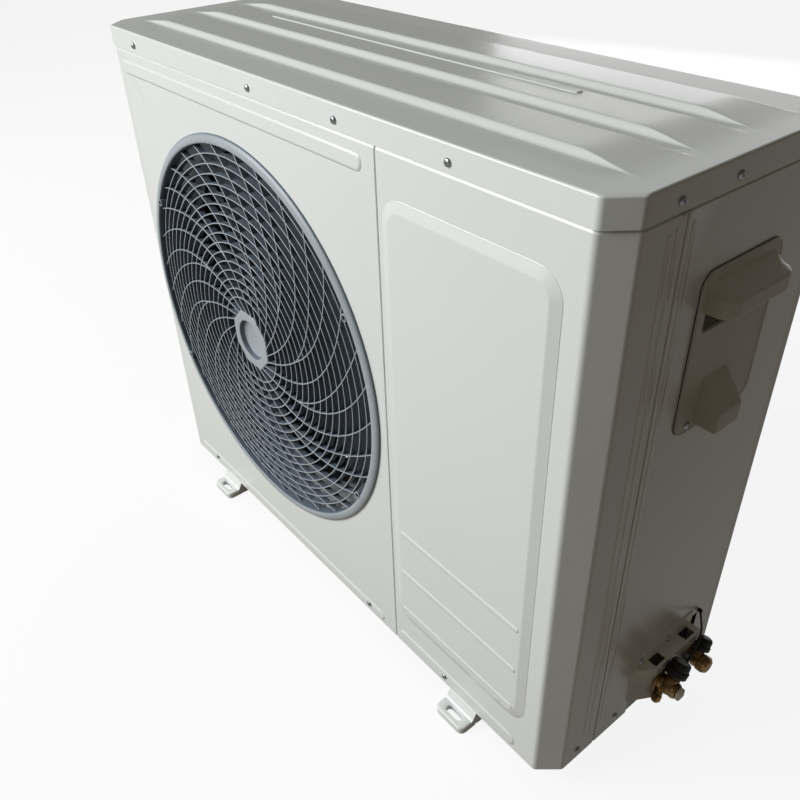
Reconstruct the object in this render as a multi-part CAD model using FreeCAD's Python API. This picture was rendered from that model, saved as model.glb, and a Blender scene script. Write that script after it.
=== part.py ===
import FreeCAD, Part
import math
import os

# Outdoor air-cooled condensing unit with one axial fan and two service valves.
# Millimetres. +X is to the right seen from the front, +Y goes from the front to the back, +Z is up.
# The origin is on the floor, at the centre of the four foot slots.

Vector = FreeCAD.Vector
ACROSS = Vector(1, 0, 0)
REARWARD = Vector(0, 1, 0)
UP = Vector(0, 0, 1)

# Casing
body_width = 940.0
body_depth = 334.0
body_height = 770.0
foot_height = 25.0
sheet = 1.2
seat_gap = 0.3
corner_along_front = 23.5
corner_along_side = 28.0

# Top cover
cover_skirt = 28.5
cover_gap = 0.4
cover_rib_height = 6.0
cover_rib_half_length = 449.0
cover_rib_crest_half_length = 372.0
cover_rib_front_slope = 12.0
cover_rib_plateau = 14.0
cover_rib_back_slope = 8.0
cover_rib_end_taper = 30.0
cover_rib_pitch = 83.0
cover_rib_count = 3
cover_first_rib_from_front = 48.0
narrow_rib_width = 13.5
narrow_rib_height = 2.0
narrow_rib_from_front = 179.0
narrow_rib_start = -299.0
narrow_rib_end = 270.0

# Front panels
seam_from_left = 640.0
seam_gap = 1.5
inner_flange = 14.0
side_seam_from_front = 88.0
side_groove_from_front = 62.0
side_groove_width = 17.0
side_bead_after_seam = 7.0
side_bead_width = 8.0
side_bead_margin = 41.0
bead_height = 1.2
top_bead_width = 19.0
top_bead_below_top = 44.0
top_bead_margin_left = 40.0
top_bead_margin_seam = 23.0
bottom_bead_width = 17.0
bottom_bead_above_base = 5.0
bottom_bead_margin_left = 45.0
bottom_bead_margin_seam = 29.0

# Raised field of the service panel
field_bevel = 11.0
field_height = 3.0
field_margin_seam = 8.0
field_margin_right = 48.0
field_below_top = 76.5
field_above_base = 66.0
field_corner = 30.0
field_rib_count = 3
field_rib_pitch = 72.6
field_rib_lowest = 89.0
field_rib_width = 8.0
field_rib_margin = 16.0
low_bead_width = 20.0
low_bead_above_base = 6.5
low_bead_margin_seam = 9.0
low_bead_margin_right = 59.0

# Fan guard
guard_from_left = 329.0
guard_above_base = 379.0
guard_rim_radius = 297.0
guard_rim_inner_radius = 271.0
guard_rim_crest = 9.0
guard_rim_inner_front = 6.5
guard_wall = 2.5
guard_wall_reach = 2.0
guard_plate_apothem = 44.5
guard_plate_front = 9.0
guard_plate_depth = 13.0
guard_dish_radius = 30.0
guard_dish_depth = 9.0
guard_rib = 2.2
spoke_front = 6.0
ring_depth = 7.0
ring_count = 15
ring_flat_count = 16
first_ring_radius = 66.8
ring_pitch = 13.55
hub_spoke_count = 22
fork_radius = 124.0
fork_open_radius = 200.0
spoke_sweep = 61.5
spoke_phase = 2.0
hub_spoke_turn = 1.0
branch_spoke_turn = 11.9
lone_spoke_turn = 6.6
spoke_points = 5
fork_points = 4
boss_radius_from_centre = 281.0
boss_angle = 30.0
boss_recess_radius = 6.0
boss_recess_floor = 3.0

# Air ring behind the fan panel
round_flat_count = 30
panel_hole_radius = 275.0
air_ring_flange_radius = 292.0
air_ring_throat = 267.0
air_ring_flare = 14.0
air_ring_flare_radius = 280.0
air_ring_length = 62.0
air_ring_wall = 1.5

# Fan and motor
fan_tip_radius = 261.0
fan_hub_radius = 58.0
fan_hub_length = 60.0
fan_hub_wall = 3.0
fan_boss_radius = 14.0
fan_blade_count = 3
hub_flat_count = 18
fan_from_front = 24.0
blade_root_half_depth = 20.0
blade_tip_half_depth = 27.0
blade_camber = 5.0
blade_thickness = 3.2
blade_flats = 3
blade_root_half_width = 36.0
blade_leading_reach = 180.0
blade_trailing_reach = 118.0
shaft_radius = 6.0
shaft_fit = 0.04
motor_radius = 64.0
motor_length = 62.0
motor_nose_radius = 26.0
motor_nose_length = 8.0
motor_from_hub = 4.0
nut_flats = 17.0
nut_height = 8.0
shaft_past_nut = 3.0
shaft_in_motor = 36.0
rail_width = 30.0
rail_depth = 16.0
rail_half_spacing = 92.0
motor_plate = 1.5
motor_plate_half_height = 80.0

# Condenser coil
coil_depth = 38.0
coil_back_inset = 11.0
coil_left_inset = 11.0
coil_right_end = 190.0
coil_front_end = -70.0
coil_corner_radius = 72.0
coil_top_gap = 24.0
end_plate = 1.5
hairpin_count = 6
hairpin_bend = 12.5
hairpin_tube = 9.6
hairpin_reach = 5.0
hairpin_margin = 60.0
header_radius = 8.0
header_from_coil = 36.0
header_below_coil_top = 40.0
header_above_bend = 46.0

# Rear and left guard
wire = 3.5
wire_columns_back = 10
wire_columns_side = 4
wire_rows = 7
corner_post_width = 40.0

# Base
pan_floor = 1.5
pan_rim_height = 24.0
foot_spacing = 628.0
foot_width = 50.0
foot_wall = 2.0
ear_drop = 14.0
ear_reach = 28.0
slot_width = 11.0
slot_length = 27.0
slot_from_front = 15.5

# Right side: cable cover and valve bracket
wrap_width = 270.0
cover_plate = 2.5
cable_cover_from_front = 129.0
cable_cover_width = 129.0
cable_cover_below_top = 102.0
cable_cover_height = 190.0
cable_cover_corner = 16.0
hood_margin = 10.0
hood_reach = 22.0
hood_top_drop = 12.0
hood_slope = 13.0
hood_height = 31.0
hood_corner = 16.0
hollow_depth = 22.0
hollow_above_cover = 128.0
hollow_wall = 2.0
nose_from_edge = 34.0
nose_width = 40.0
nose_reach = 18.0
nose_above_cover = 10.0
nose_height = 57.0
nose_face_low = 2.0
nose_face_height = 23.0
bracket_sheet = 1.5
bracket_reach = 18.0
bracket_start = 150.0
bracket_length = 125.0
bracket_cheek = 31.0
bracket_low = 28.0
bracket_shelf = 91.0
bracket_flange_top = 115.0
bracket_window = 13.0
bracket_windows_from_front = (181.0, 245.0)
bracket_window_length = 20.0
bracket_screws_from_front = (165.0, 220.6)
bracket_screw_height = 102.7
notch_margin = 5.0
side_notch_width = 20.0
side_notch_top = 100.0
valve_from_front = (191.0, 255.0)
valve_height = 60.0
valve_flange = 3.0
valve_tilt = 32.0
valve_flange_half_widths = (15.0, 13.0)
valve_flange_half_heights = (14.0, 12.0)
valve_flange_corner = 8.0
valve_hole_radius = 9.5
valve_stub_length = 36.0
valve_barrel_radius = 11.0
valve_barrel_lengths = (25.0, 15.0)
spindle_radius = 5.0
spindle_fit = 0.05
spindle_bore_depth = 22.0
spindle_end_gap = 1.0
spindle_square = 14.0
spindle_square_length = 6.0
spindle_stand_off = 0.5
stem_cap_flats = 23.0
stem_cap_length = 14.0
stem_cap_cavity = 7.0
flare_port_radii = (8.0, 6.3)
flare_port_lengths = (18.0, 15.5)
flare_ports_from_bracket = (15.0, 11.5)
black_cap_radii = (14.5, 11.0)
black_cap_heights = (22.0, 18.0)
black_cap_collar = 6.0
black_cap_step = 1.2
service_port_from_bracket = 7.5
service_port_radius = 5.0
service_port_lengths = (18.5, 16.5)
service_cap_flats = 12.0
service_cap_length = 12.0
strap_radius = 1.4
strap_eye = 3.0
strap_ring = 1.2
strap_ring_height = 4.0

# Inside the right half
partition_straight = 107.0
partition_second_bend = 187.0
compressor_radius = 62.0
compressor_height = 284.0
compressor_x = 318.0
compressor_y = -5.0
compressor_dome = 26.0
grommet_height = 15.5
grommet_radius = 13.0
ear_circle = 92.0
ear_radius = 15.0
first_ear_angle = 80.0
foot_plate = 4.0
stud_radius = 4.0
accumulator_radius = 33.0
accumulator_gap = 7.0
accumulator_angle = -25.0
accumulator_low = 84.0
accumulator_height = 190.0
receiver_radius = 42.0
receiver_height = 250.0
receiver_x = 232.0
receiver_y = -110.0
drier_radius = 16.0
drier_length = 84.0
drier_y = 85.0
drier_low = 170.0
gas_pipe_radius = 8.0
liquid_pipe_radius = 5.0
pipe_bend = 24.0
discharge_rise = 24.0
box_below_top = 175.0
box_height = 130.0
box_left = 200.0
box_right = 430.0
box_far = 44.0
apron_drop = 90.0
board_stand_off = 8.0
board_thickness = 1.6
board_margin = 14.0
heat_sink_fins = 9
capacitor_radius = 15.0
capacitor_height = 42.0

# Screws
screw_head_radius = 4.4
screw_head_height = 2.6
screw_shank_radius = 2.0
screw_hole_radius = 2.3
cover_screws_from_left = (95.4, 404.6, 576.0, 750.0)
cover_screws_from_front = (71.7, 153.0)
cover_screw_above_skirt = 11.0
bottom_screws_from_left = (105.4, 576.0, 747.7)
bottom_screws_from_front = (55.0, 130.0)
bottom_screw_height = 16.3

# Small forms of the wire guard, pan and feet
level_wire_low = 70.0
level_wire_top_gap = 60.0
upright_wire_margin = 40.0
wire_corner_clear = 60.0
pan_bar_rows = (-90.0, 60.0)
pan_bar_margin = 90.0
pan_bar_width = 26.0
pan_bar_height = 4.0
pan_bar_bevel = 3.0
drain_radius = 9.0
drain_y = 30.0
drain_half_spacing = 80.0
ear_flat_length = 21.0
neck_inset = 1.5
neck_bend_run = 3.0
neck_bend_rise = 2.5
neck_top_run = 2.0

# Small forms of the guard and the cable cover
spoke_spacing_power = 1.25
rim_crest_from_edge = 11.0
rim_shoulder_in = 4.0
rim_shoulder_front = 6.0
rim_inner_step = 8.0
rim_inner_edge = 3.0
boss_wall = 1.4
nose_corner = 5.0
cover_screw_from_edge = 21.0
cover_screw_above_cover = 13.0

# Small forms of the vessels and pipes
grommet_waist = 2.0
grommet_waist_height = 7.0
stud_above_ear = 12.0
stud_nut_flats = 13.0
stud_nut_height = 7.0
terminal_cover_size = (26.0, 34.0, 24.0)
terminal_cover_from_axis = (4.0, -24.0)
terminal_cover_bevel = 3.0
vessel_dome_inset = 12.0
vessel_low_dome = 10.0
strap_half_width = 9.0
strap_height = 18.0
receiver_stand = 10.0
receiver_stand_wall = 4.0
receiver_stand_inset = 16.0
drier_neck = 6.0
drier_cone = 16.0
drier_from_header = 6.0
suction_rise = 10.0
suction_first_run = 26.0
discharge_from_axis = 22.0
discharge_thinner = 2.0
liquid_bend = 16.0
liquid_last_bend = 12.0
liquid_outlet_height = 40.0
liquid_over_receiver = 34.0
liquid_low_run = 30.0
liquid_valve_run = 24.0

# Small forms of the electrical box and what it holds
apron_from_front = 60.0
cable_hole_from_left = 60.0
cable_hole_height = 40.0
cable_hole_radius = 14.0
board_post = 6.0
board_post_margin = 8.0
relay_count = 5
relay_first = 30.0
relay_pitch = 26.0
relay_width = 18.0
relay_depth = 14.0
relay_height = 14.0
core_from_left = 14.0
core_from_far_edge = 12.0
core_width = 30.0
core_length = 28.0
core_height = 20.0
heat_sink_from_left = 60.0
heat_sink_from_front = 40.0
heat_sink_length = 70.0
heat_sink_base = 6.0
heat_sink_height = 34.0
heat_sink_pitch = 9.0
heat_sink_fin = 3.0
capacitor_count = 3
capacitor_from_right = 24.0
capacitor_from_front = 50.0
capacitor_pitch = 34.0
terminal_start = -24.0
terminal_above_apron = 16.0
terminal_count = 5
terminal_pitch = 12.0
terminal_height = 30.0
terminal_base = 10.0
barrier_reach = 18.0
barrier_thickness = 2.0
clamp_margin = 4.0
clamp_length = 6.0
clamp_inner = 9.0
clamp_outer = 13.0

# Planes that the sizes above give
left = -body_width / 2
right = body_width / 2
front = -body_depth / 2
back = body_depth / 2
base = foot_height
top = foot_height + body_height
floor = base + pan_floor
ceiling = top - sheet
seam = left + seam_from_left
side_seam = front + side_seam_from_front
guard_x = left + guard_from_left
guard_z = base + guard_above_base
pan_inset = sheet + seat_gap
coil_back = back - coil_back_inset
coil_front = coil_back - coil_depth
coil_left = left + coil_left_inset
coil_top = ceiling - coil_top_gap
fan_front = front + fan_from_front
fan_back = fan_front + fan_hub_length
motor_front = fan_back + motor_from_hub
motor_back = motor_front + motor_length
bracket_face = right + bracket_reach
compressor_low = floor + grommet_height
compressor_top = compressor_low + foot_plate + compressor_height
header_low = compressor_top + discharge_rise + header_above_bend
header_top = coil_top - header_below_coil_top
cover_low = top - cable_cover_below_top - cable_cover_height
box_low = top - box_below_top


def box(x0, x1, y0, y1, z0, z1):
    return Part.makeBox(x1 - x0, y1 - y0, z1 - z0, Vector(x0, y0, z0))


def rod(start, direction, radius, length):
    return Part.makeCylinder(radius, length, start, direction)


def joined(shapes):
    body = shapes[0]
    if len(shapes) > 1:
        body = shapes[0].fuse(shapes[1:])
    return body.removeSplitter()


def polygon_wire(points):
    return Part.makePolygon(list(points) + [points[0]])


def prism(points, along):
    return Part.Face(polygon_wire(points)).extrude(along)


def prism_up(plan, z0, z1):
    return prism([Vector(x, y, z0) for x, y in plan], Vector(0, 0, z1 - z0))


def skin(rings, closed):
    """A solid between rings of equally many points; closed joins the last ring to the first.

    A four-sided face that isn't flat is folded along its shorter diagonal.
    """
    pairs = list(zip(rings, rings[1:]))
    outlines = []
    if closed:
        pairs.append((rings[-1], rings[0]))
    else:
        outlines += [rings[0], rings[-1]]
    for near, far in pairs:
        for k in range(len(near)):
            after = (k + 1) % len(near)
            corners = [near[k], near[after], far[after], far[k]]
            outlines.append([p for i, p in enumerate(corners)
                             if p.distanceToPoint(corners[i - 1]) > 1e-6])
    faces = []
    for outline in outlines:
        if len(outline) == 4:
            a, b, c, d = outline
            if abs((b - a).cross(c - a).dot(d - a)) > 1e-4:
                if a.distanceToPoint(c) > b.distanceToPoint(d):
                    a, b, c, d = b, c, d, a
                faces.append(Part.Face(polygon_wire([a, b, c])))
                faces.append(Part.Face(polygon_wire([a, c, d])))
                continue
        if len(outline) > 2:
            faces.append(Part.Face(polygon_wire(outline)))
    solid = Part.Solid(Part.Shell(faces))
    if solid.Volume < 0:
        solid.reverse()
    return solid.removeSplitter()


def turned(profile, x, z, sides=0):
    """A turned piece about the line along Y through x, z; profile holds (radius, y).

    With sides it is made of that many flats, without it is round.
    """
    if sides:
        turns = [2 * math.pi * (k + 0.5) / sides for k in range(sides)]
        rings = [[Vector(x + r * math.cos(t), y, z + r * math.sin(t)) for t in turns] for r, y in profile]
        return skin(rings, True)
    edge_wire = polygon_wire([Vector(x + r, y, z) for r, y in profile])
    return Part.Face(edge_wire).revolve(Vector(x, 0, z), REARWARD, 360)


def turned_up(profile, x, y, sides):
    """A turned piece of flats about the vertical through x, y; profile holds (radius, z)."""
    turns = [2 * math.pi * (k + 0.5) / sides for k in range(sides)]
    rings = [[Vector(x + r * math.cos(t), y + r * math.sin(t), z) for t in turns] for r, z in profile]
    return skin(rings, True)


def flat_rod(start, way, radius, length, sides):
    """A rod with flat sides; radius is measured to its corners."""
    spin = FreeCAD.Rotation(UP, way)
    ring = []
    for k in range(sides):
        turn = 2 * math.pi * (k + 0.5) / sides
        ring.append(start + spin.multVec(Vector(radius * math.cos(turn), radius * math.sin(turn), 0)))
    return prism(ring, way * length)


def hexagon(start, direction, flats, length):
    """A six-sided prism whose axis starts at start."""
    corner = flats / math.sqrt(3)
    points = [Vector(corner * math.cos(math.radians(60 * k)), corner * math.sin(math.radians(60 * k)), 0)
              for k in range(6)]
    solid = prism(points, Vector(0, 0, length))
    solid.Placement = FreeCAD.Placement(start, FreeCAD.Rotation(UP, direction))
    return solid


def offset_path(path, distance):
    """The open plan path moved to its left by distance, with mitred corners."""
    moved = []
    for k, point in enumerate(path):
        ways = []
        if k > 0:
            ways.append(Vector(point[0] - path[k - 1][0], point[1] - path[k - 1][1], 0).normalize())
        if k < len(path) - 1:
            ways.append(Vector(path[k + 1][0] - point[0], path[k + 1][1] - point[1], 0).normalize())
        sides = [Vector(-way.y, way.x, 0) for way in ways]
        middle = (sides[0] + sides[-1]).normalize()
        reach = distance / middle.dot(sides[0])
        moved.append((point[0] + middle.x * reach, point[1] + middle.y * reach))
    return moved


def bent_sheet(path, thickness, z0, z1):
    """Sheet metal bent along a plan path, its thickness to the left of the path."""
    inner = offset_path(path, thickness)
    return prism_up(list(path) + inner[::-1], z0, z1)


def rounded_outline(a0, a1, b0, b1, corner, steps):
    """Points of a rectangle whose corners are rounded in short flats."""
    points = []
    centres = ((a1 - corner, b1 - corner), (a0 + corner, b1 - corner),
               (a0 + corner, b0 + corner), (a1 - corner, b0 + corner))
    for quarter, (a, b) in enumerate(centres):
        for k in range(steps + 1):
            turn = math.radians(90 * (quarter + k / steps))
            points.append((a + corner * math.cos(turn), b + corner * math.sin(turn)))
    return points


def rounded_plate(x0, x1, z0, z1, corner, y0, y1, steps=2):
    """A plate parallel to the front, with round corners."""
    outline = rounded_outline(x0, x1, z0, z1, corner, steps)
    return prism([Vector(a, y0, b) for a, b in outline], Vector(0, y1 - y0, 0))


def rounded_side_plate(y0, y1, z0, z1, corner, x0, x1, steps=2):
    """A plate parallel to the right side, with round corners."""
    outline = rounded_outline(y0, y1, z0, z1, corner, steps)
    return prism([Vector(x0, a, b) for a, b in outline], Vector(x1 - x0, 0, 0))


def pipe(points, radius, bend, sides=6):
    """A tube through the points; each bend is made of two mitred runs."""
    path = [points[0]]
    for before, corner, after in zip(points, points[1:], points[2:]):
        way_in = (corner - before).normalize()
        way_out = (after - corner).normalize()
        turn = way_in.getAngle(way_out)
        reach = bend * math.tan(turn / 2)
        axis = way_in.cross(way_out).normalize()
        arm = way_in.cross(axis) * bend
        centre = corner - way_in * reach - arm
        for part_of_turn in (0.25, 0.75):
            spin = FreeCAD.Rotation(axis, math.degrees(turn * part_of_turn))
            path.append(centre + spin.multVec(arm) * (1 / math.cos(turn / 4)))
    path.append(points[-1])
    way = (path[1] - path[0]).normalize()
    side = way.cross(UP) if abs(way.z) < 0.9 else way.cross(ACROSS)
    side = side.normalize() * radius
    ring = []
    for k in range(sides):
        spin = FreeCAD.Rotation(way, 360 * (k + 0.5) / sides)
        ring.append(path[0] + spin.multVec(side))
    rings = [ring]
    for k in range(1, len(path)):
        way = (path[k] - path[k - 1]).normalize()
        mitre = Vector(way)
        if k < len(path) - 1:
            mitre = (way + (path[k + 1] - path[k]).normalize()).normalize()
        ring = [p + way * ((path[k] - p).dot(mitre) / way.dot(mitre)) for p in ring]
        rings.append(ring)
    return skin(rings, False)


def casing_plan(margin):
    """The casing's outline in plan, moved outwards by margin."""
    slant = math.hypot(corner_along_front, corner_along_side)
    along_front = corner_along_front - margin * (slant - corner_along_front) / corner_along_side
    along_side = corner_along_side - margin * (slant - corner_along_side) / corner_along_front
    near = front - margin
    far = back + margin
    return [(left - margin, far), (left - margin, near + along_side), (left + along_front - margin, near),
            (right - along_front + margin, near), (right + margin, near + along_side),
            (right + margin, far)]


# Top cover


def cover_rib(from_front, shrink):
    """One long raised rib with a bright front slope; its ends run out to points."""
    y = front + from_front
    low = top - 2 * shrink
    high = top + cover_rib_height - shrink
    foot_back = y + cover_rib_front_slope + cover_rib_plateau + cover_rib_back_slope
    crest_front = y + cover_rib_front_slope
    crest_back = crest_front + cover_rib_plateau
    half = cover_rib_half_length - 3 * shrink
    half_back = half - cover_rib_end_taper
    crest = cover_rib_crest_half_length - shrink
    foot = [(-half, y + shrink), (half, y + shrink), (half_back, foot_back - shrink),
            (-half_back, foot_back - shrink)]
    ridge = [(-crest, crest_front + shrink / 2), (crest, crest_front + shrink / 2),
             (crest, crest_back - shrink / 2), (-crest, crest_back - shrink / 2)]
    return skin([[Vector(a, b, low) for a, b in foot], [Vector(a, b, high) for a, b in ridge]], False)


def narrow_rib():
    y = front + narrow_rib_from_front
    bar = box(narrow_rib_start, narrow_rib_end, y, y + narrow_rib_width, top, top + narrow_rib_height)
    edges = [e for e in bar.Edges if e.BoundBox.ZMin > top + narrow_rib_height - 0.1]
    return bar.makeChamfer(narrow_rib_height * 0.6, edges)


def top_cover():
    skirt_low = top - cover_skirt
    outer = prism_up(casing_plan(cover_gap + sheet), skirt_low, top)
    inner = prism_up(casing_plan(cover_gap), skirt_low, ceiling)
    body = outer.cut(inner)
    ribs = []
    hollows = []
    for k in range(cover_rib_count):
        from_front = cover_first_rib_from_front + cover_rib_pitch * k
        ribs.append(cover_rib(from_front, 0))
        hollows.append(cover_rib(from_front, sheet))
    ribs.append(narrow_rib())
    return body.fuse(ribs).cut(hollows).removeSplitter()


# Panels


def front_bead(x0, x1, low, width):
    """A long round-ended bead pressed out of a front panel: the raised bar and its hollow."""
    bar = rounded_plate(x0, x1, low, low + width, width * 0.49, front - bead_height, front)
    hollow = rounded_plate(x0 + sheet, x1 - sheet, low + sheet, low + width - sheet,
                           (width - 2 * sheet) * 0.49, front, front + sheet)
    return bar, hollow


def side_bead(from_front, width):
    y = front + from_front
    return rounded_side_plate(y, y + width, base + side_bead_margin, ceiling - side_bead_margin,
                              width * 0.45, right, right + bead_height)


def guard_points(radius, angle):
    """The four points at radius from the fan axis, angle above and below the horizontal."""
    reach = radius * math.cos(math.radians(angle))
    rise = radius * math.sin(math.radians(angle))
    return [(guard_x + a * reach, guard_z + b * rise) for a in (-1, 1) for b in (-1, 1)]


def flange_relief(x0, x1, y0, y1):
    """Where a panel's inner flange is cut short, so that it clears the pan's rim."""
    return box(x0, x1, y0, y1, base - 1, base + pan_rim_height + seat_gap)


def fan_panel():
    seam_edge = seam - seam_gap / 2
    path = [(left, side_seam), (left, front + corner_along_side), (left + corner_along_front, front),
            (seam_edge, front), (seam_edge, front + inner_flange)]
    body = bent_sheet(path, sheet, base, ceiling)
    bars = []
    cuts = [flat_rod(Vector(guard_x, front - 5, guard_z), REARWARD, panel_hole_radius, 12,
                     round_flat_count)]
    cuts.append(flange_relief(seam_edge - 2 * sheet, seam_edge + 1, front + sheet, front + inner_flange + 1))
    top_low = top - top_bead_below_top - top_bead_width
    for x0, x1, low, width in (
            (left + top_bead_margin_left, seam - top_bead_margin_seam, top_low, top_bead_width),
            (left + bottom_bead_margin_left, seam - bottom_bead_margin_seam,
             base + bottom_bead_above_base, bottom_bead_width)):
        bar, hollow = front_bead(x0, x1, low, width)
        bars.append(bar)
        cuts.append(hollow)
    for x, z in guard_points(boss_radius_from_centre, boss_angle):
        cuts.append(flat_rod(Vector(x, front - 1, z), REARWARD, screw_hole_radius, 4, 6))
    return body.fuse(bars).cut(cuts).removeSplitter()


def raised_field(shrink, y_foot, y_face):
    """The large raised field: a round-cornered outline that slopes in to its flat face."""
    x0 = seam + field_margin_seam + shrink
    x1 = right - field_margin_right - shrink
    z0 = base + field_above_base + shrink
    z1 = top - field_below_top - shrink
    outlines = []
    for inset, y in ((0, y_foot), (field_bevel, y_face)):
        outline = rounded_outline(x0 + inset, x1 - inset, z0 + inset, z1 - inset,
                                  field_corner - inset, 4)
        outlines.append([Vector(a, y, b) for a, b in outline])
    return skin(outlines, False)


def service_panel():
    seam_edge = seam + seam_gap / 2
    side_edge = side_seam - seam_gap / 2
    path = [(seam_edge, front + inner_flange), (seam_edge, front),
            (right - corner_along_front, front), (right, front + corner_along_side),
            (right, side_edge), (right - inner_flange, side_edge)]
    body = bent_sheet(path, sheet, base, ceiling)
    face = front - field_height
    added = [raised_field(0, front, face)]
    hollow = raised_field(sheet, front + sheet, face + sheet)
    for k in range(field_rib_count):
        z = base + field_rib_lowest + field_rib_pitch * k
        added.append(rounded_plate(seam + field_margin_seam + field_rib_margin,
                                   right - field_margin_right - field_rib_margin,
                                   z - field_rib_width / 2, z + field_rib_width / 2,
                                   field_rib_width * 0.45, face - 1, face))
    bar, bead_hollow = front_bead(seam + low_bead_margin_seam, right - low_bead_margin_right,
                                  base + low_bead_above_base, low_bead_width)
    added.append(bar)
    added.append(side_bead(side_groove_from_front, side_groove_width))
    reliefs = [flange_relief(seam_edge - 1, seam_edge + 2 * sheet, front + sheet, front + inner_flange + 1),
               flange_relief(right - inner_flange - 1, right - sheet, side_edge - 2 * sheet, side_edge + 1)]
    return body.fuse(added).cut([hollow, bead_hollow] + reliefs).removeSplitter()


def right_side_panel():
    start = side_seam + seam_gap / 2
    path = [(right - inner_flange, start), (right, start), (right, back), (right - wrap_width, back)]
    body = bent_sheet(path, sheet, base, ceiling)
    bead = side_bead(side_seam_from_front + side_bead_after_seam, side_bead_width)
    cover_near = front + cable_cover_from_front
    pocket = box(right - 5, right + 5, cover_near + hood_margin - hollow_wall,
                 cover_near + cable_cover_width - hood_margin + hollow_wall,
                 cover_low + hollow_above_cover - hollow_wall,
                 cover_low + cable_cover_height - hood_top_drop)
    notch_near = front + bracket_start + notch_margin
    notch_far = front + bracket_start + bracket_length - notch_margin
    notch = box(right - 5, right + 5, notch_near, notch_far, base - 1, base + bracket_shelf - notch_margin)
    side_notch = box(right - 5, right + 5, notch_far, notch_far + side_notch_width,
                     base - 1, base + side_notch_top)
    relief = flange_relief(right - inner_flange - 1, right - sheet, start - 1, start + 2 * sheet)
    return body.fuse(bead).cut([pocket, notch, side_notch, relief]).removeSplitter()


def rear_corner_post():
    path = [(left + corner_post_width, back), (left, back), (left, back - corner_post_width)]
    return bent_sheet(path, sheet, base, ceiling)


def wire_guard():
    """Level wires that go round the rear left corner, with upright wires on their inner side."""
    y_out = back - sheet
    x_out = left + sheet
    path = [(right - wrap_width + corner_post_width / 2, y_out), (x_out, y_out),
            (x_out, side_seam - corner_post_width / 2)]
    low = base + level_wire_low
    rise = (ceiling - level_wire_top_gap - low) / (wire_rows - 1)
    wires = [bent_sheet(path, wire, low + rise * k, low + rise * k + wire) for k in range(wire_rows)]
    z0 = base + upright_wire_margin
    z1 = ceiling - upright_wire_margin
    run = path[0][0] - 2 * wire - (left + wire_corner_clear)
    for k in range(wire_columns_back):
        x = left + wire_corner_clear + run * k / (wire_columns_back - 1)
        wires.append(box(x, x + wire, y_out - 2 * wire, y_out - wire, z0, z1))
    reach = back - wire_corner_clear - path[2][1] - wire
    for k in range(wire_columns_side):
        y = path[2][1] + reach * k / (wire_columns_side - 1)
        wires.append(box(x_out + wire, x_out + 2 * wire, y, y + wire, z0, z1))
    return Part.makeCompound(wires)


# Base


def base_pan():
    outer = prism_up(casing_plan(-pan_inset), base, base + pan_rim_height)
    inner = prism_up(casing_plan(-pan_inset - pan_floor), floor, base + pan_rim_height + 1)
    body = outer.cut(inner)
    raised = []
    for y in pan_bar_rows:
        bar = box(left + pan_bar_margin, seam - pan_bar_margin, y, y + pan_bar_width,
                  floor, floor + pan_bar_height)
        upper_edges = [e for e in bar.Edges if e.BoundBox.ZMin > floor + pan_bar_height / 2]
        raised.append(bar.makeChamfer(pan_bar_bevel, upper_edges))
    drains = [flat_rod(Vector(x, drain_y, base - 1), UP, drain_radius, 6, 8)
              for x in (guard_x - drain_half_spacing, guard_x + drain_half_spacing)]
    return body.fuse(raised).cut(drains).removeSplitter()


def foot_rail(x):
    """A channel under the pan with a pressed ear in front and behind."""
    half_flat = body_depth / 2 + ear_reach
    neck_out = half_flat - ear_flat_length
    neck_in = body_depth / 2 - neck_inset
    line = [(half_flat, base - ear_drop), (neck_out, base - ear_drop),
            (neck_out - neck_bend_run, base - ear_drop + neck_bend_rise),
            (neck_in + neck_top_run, base - neck_inset), (neck_in - neck_top_run, base)]
    upper = line + [(-y, z) for y, z in line[::-1]]
    lower = [(y, z - foot_wall) for y, z in upper]
    x0 = x - foot_width / 2
    web = prism([Vector(x0, y, z) for y, z in upper + lower[::-1]], Vector(foot_width, 0, 0))
    cheek_plan = [Vector(x0, y, z) for y, z in upper]
    cheek_plan += [Vector(x0, -half_flat, 0), Vector(x0, half_flat, 0)]
    cheek = prism(cheek_plan, Vector(foot_wall, 0, 0))
    other = cheek.copy()
    other.translate(Vector(foot_width, 0, 0))
    cheek.translate(Vector(-foot_wall, 0, 0))
    slots = []
    straight = (slot_length - slot_width) / 2
    for y in (front - slot_from_front, back + slot_from_front):
        z0 = base - ear_drop - 5
        slots.append(box(x - straight, x + straight, y - slot_width / 2, y + slot_width / 2, z0, z0 + 8))
        for side in (-1, 1):
            slots.append(rod(Vector(x + side * straight, y, z0), UP, slot_width / 2, 8))
    return web.fuse([cheek, other]).cut(slots).removeSplitter()


def foot_rail_left():
    return foot_rail(-foot_spacing / 2)


def foot_rail_right():
    return foot_rail(foot_spacing / 2)


# Spiral fan guard


def spoke_angle(radius):
    """How far a spoke has turned, in degrees, when it reaches this radius."""
    first = guard_plate_apothem
    last = guard_rim_inner_radius
    share = math.sqrt(max(radius - first, 0) / (last - first))
    return spoke_sweep * share * (1 + 0.08 * math.sin(math.pi * share))


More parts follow.
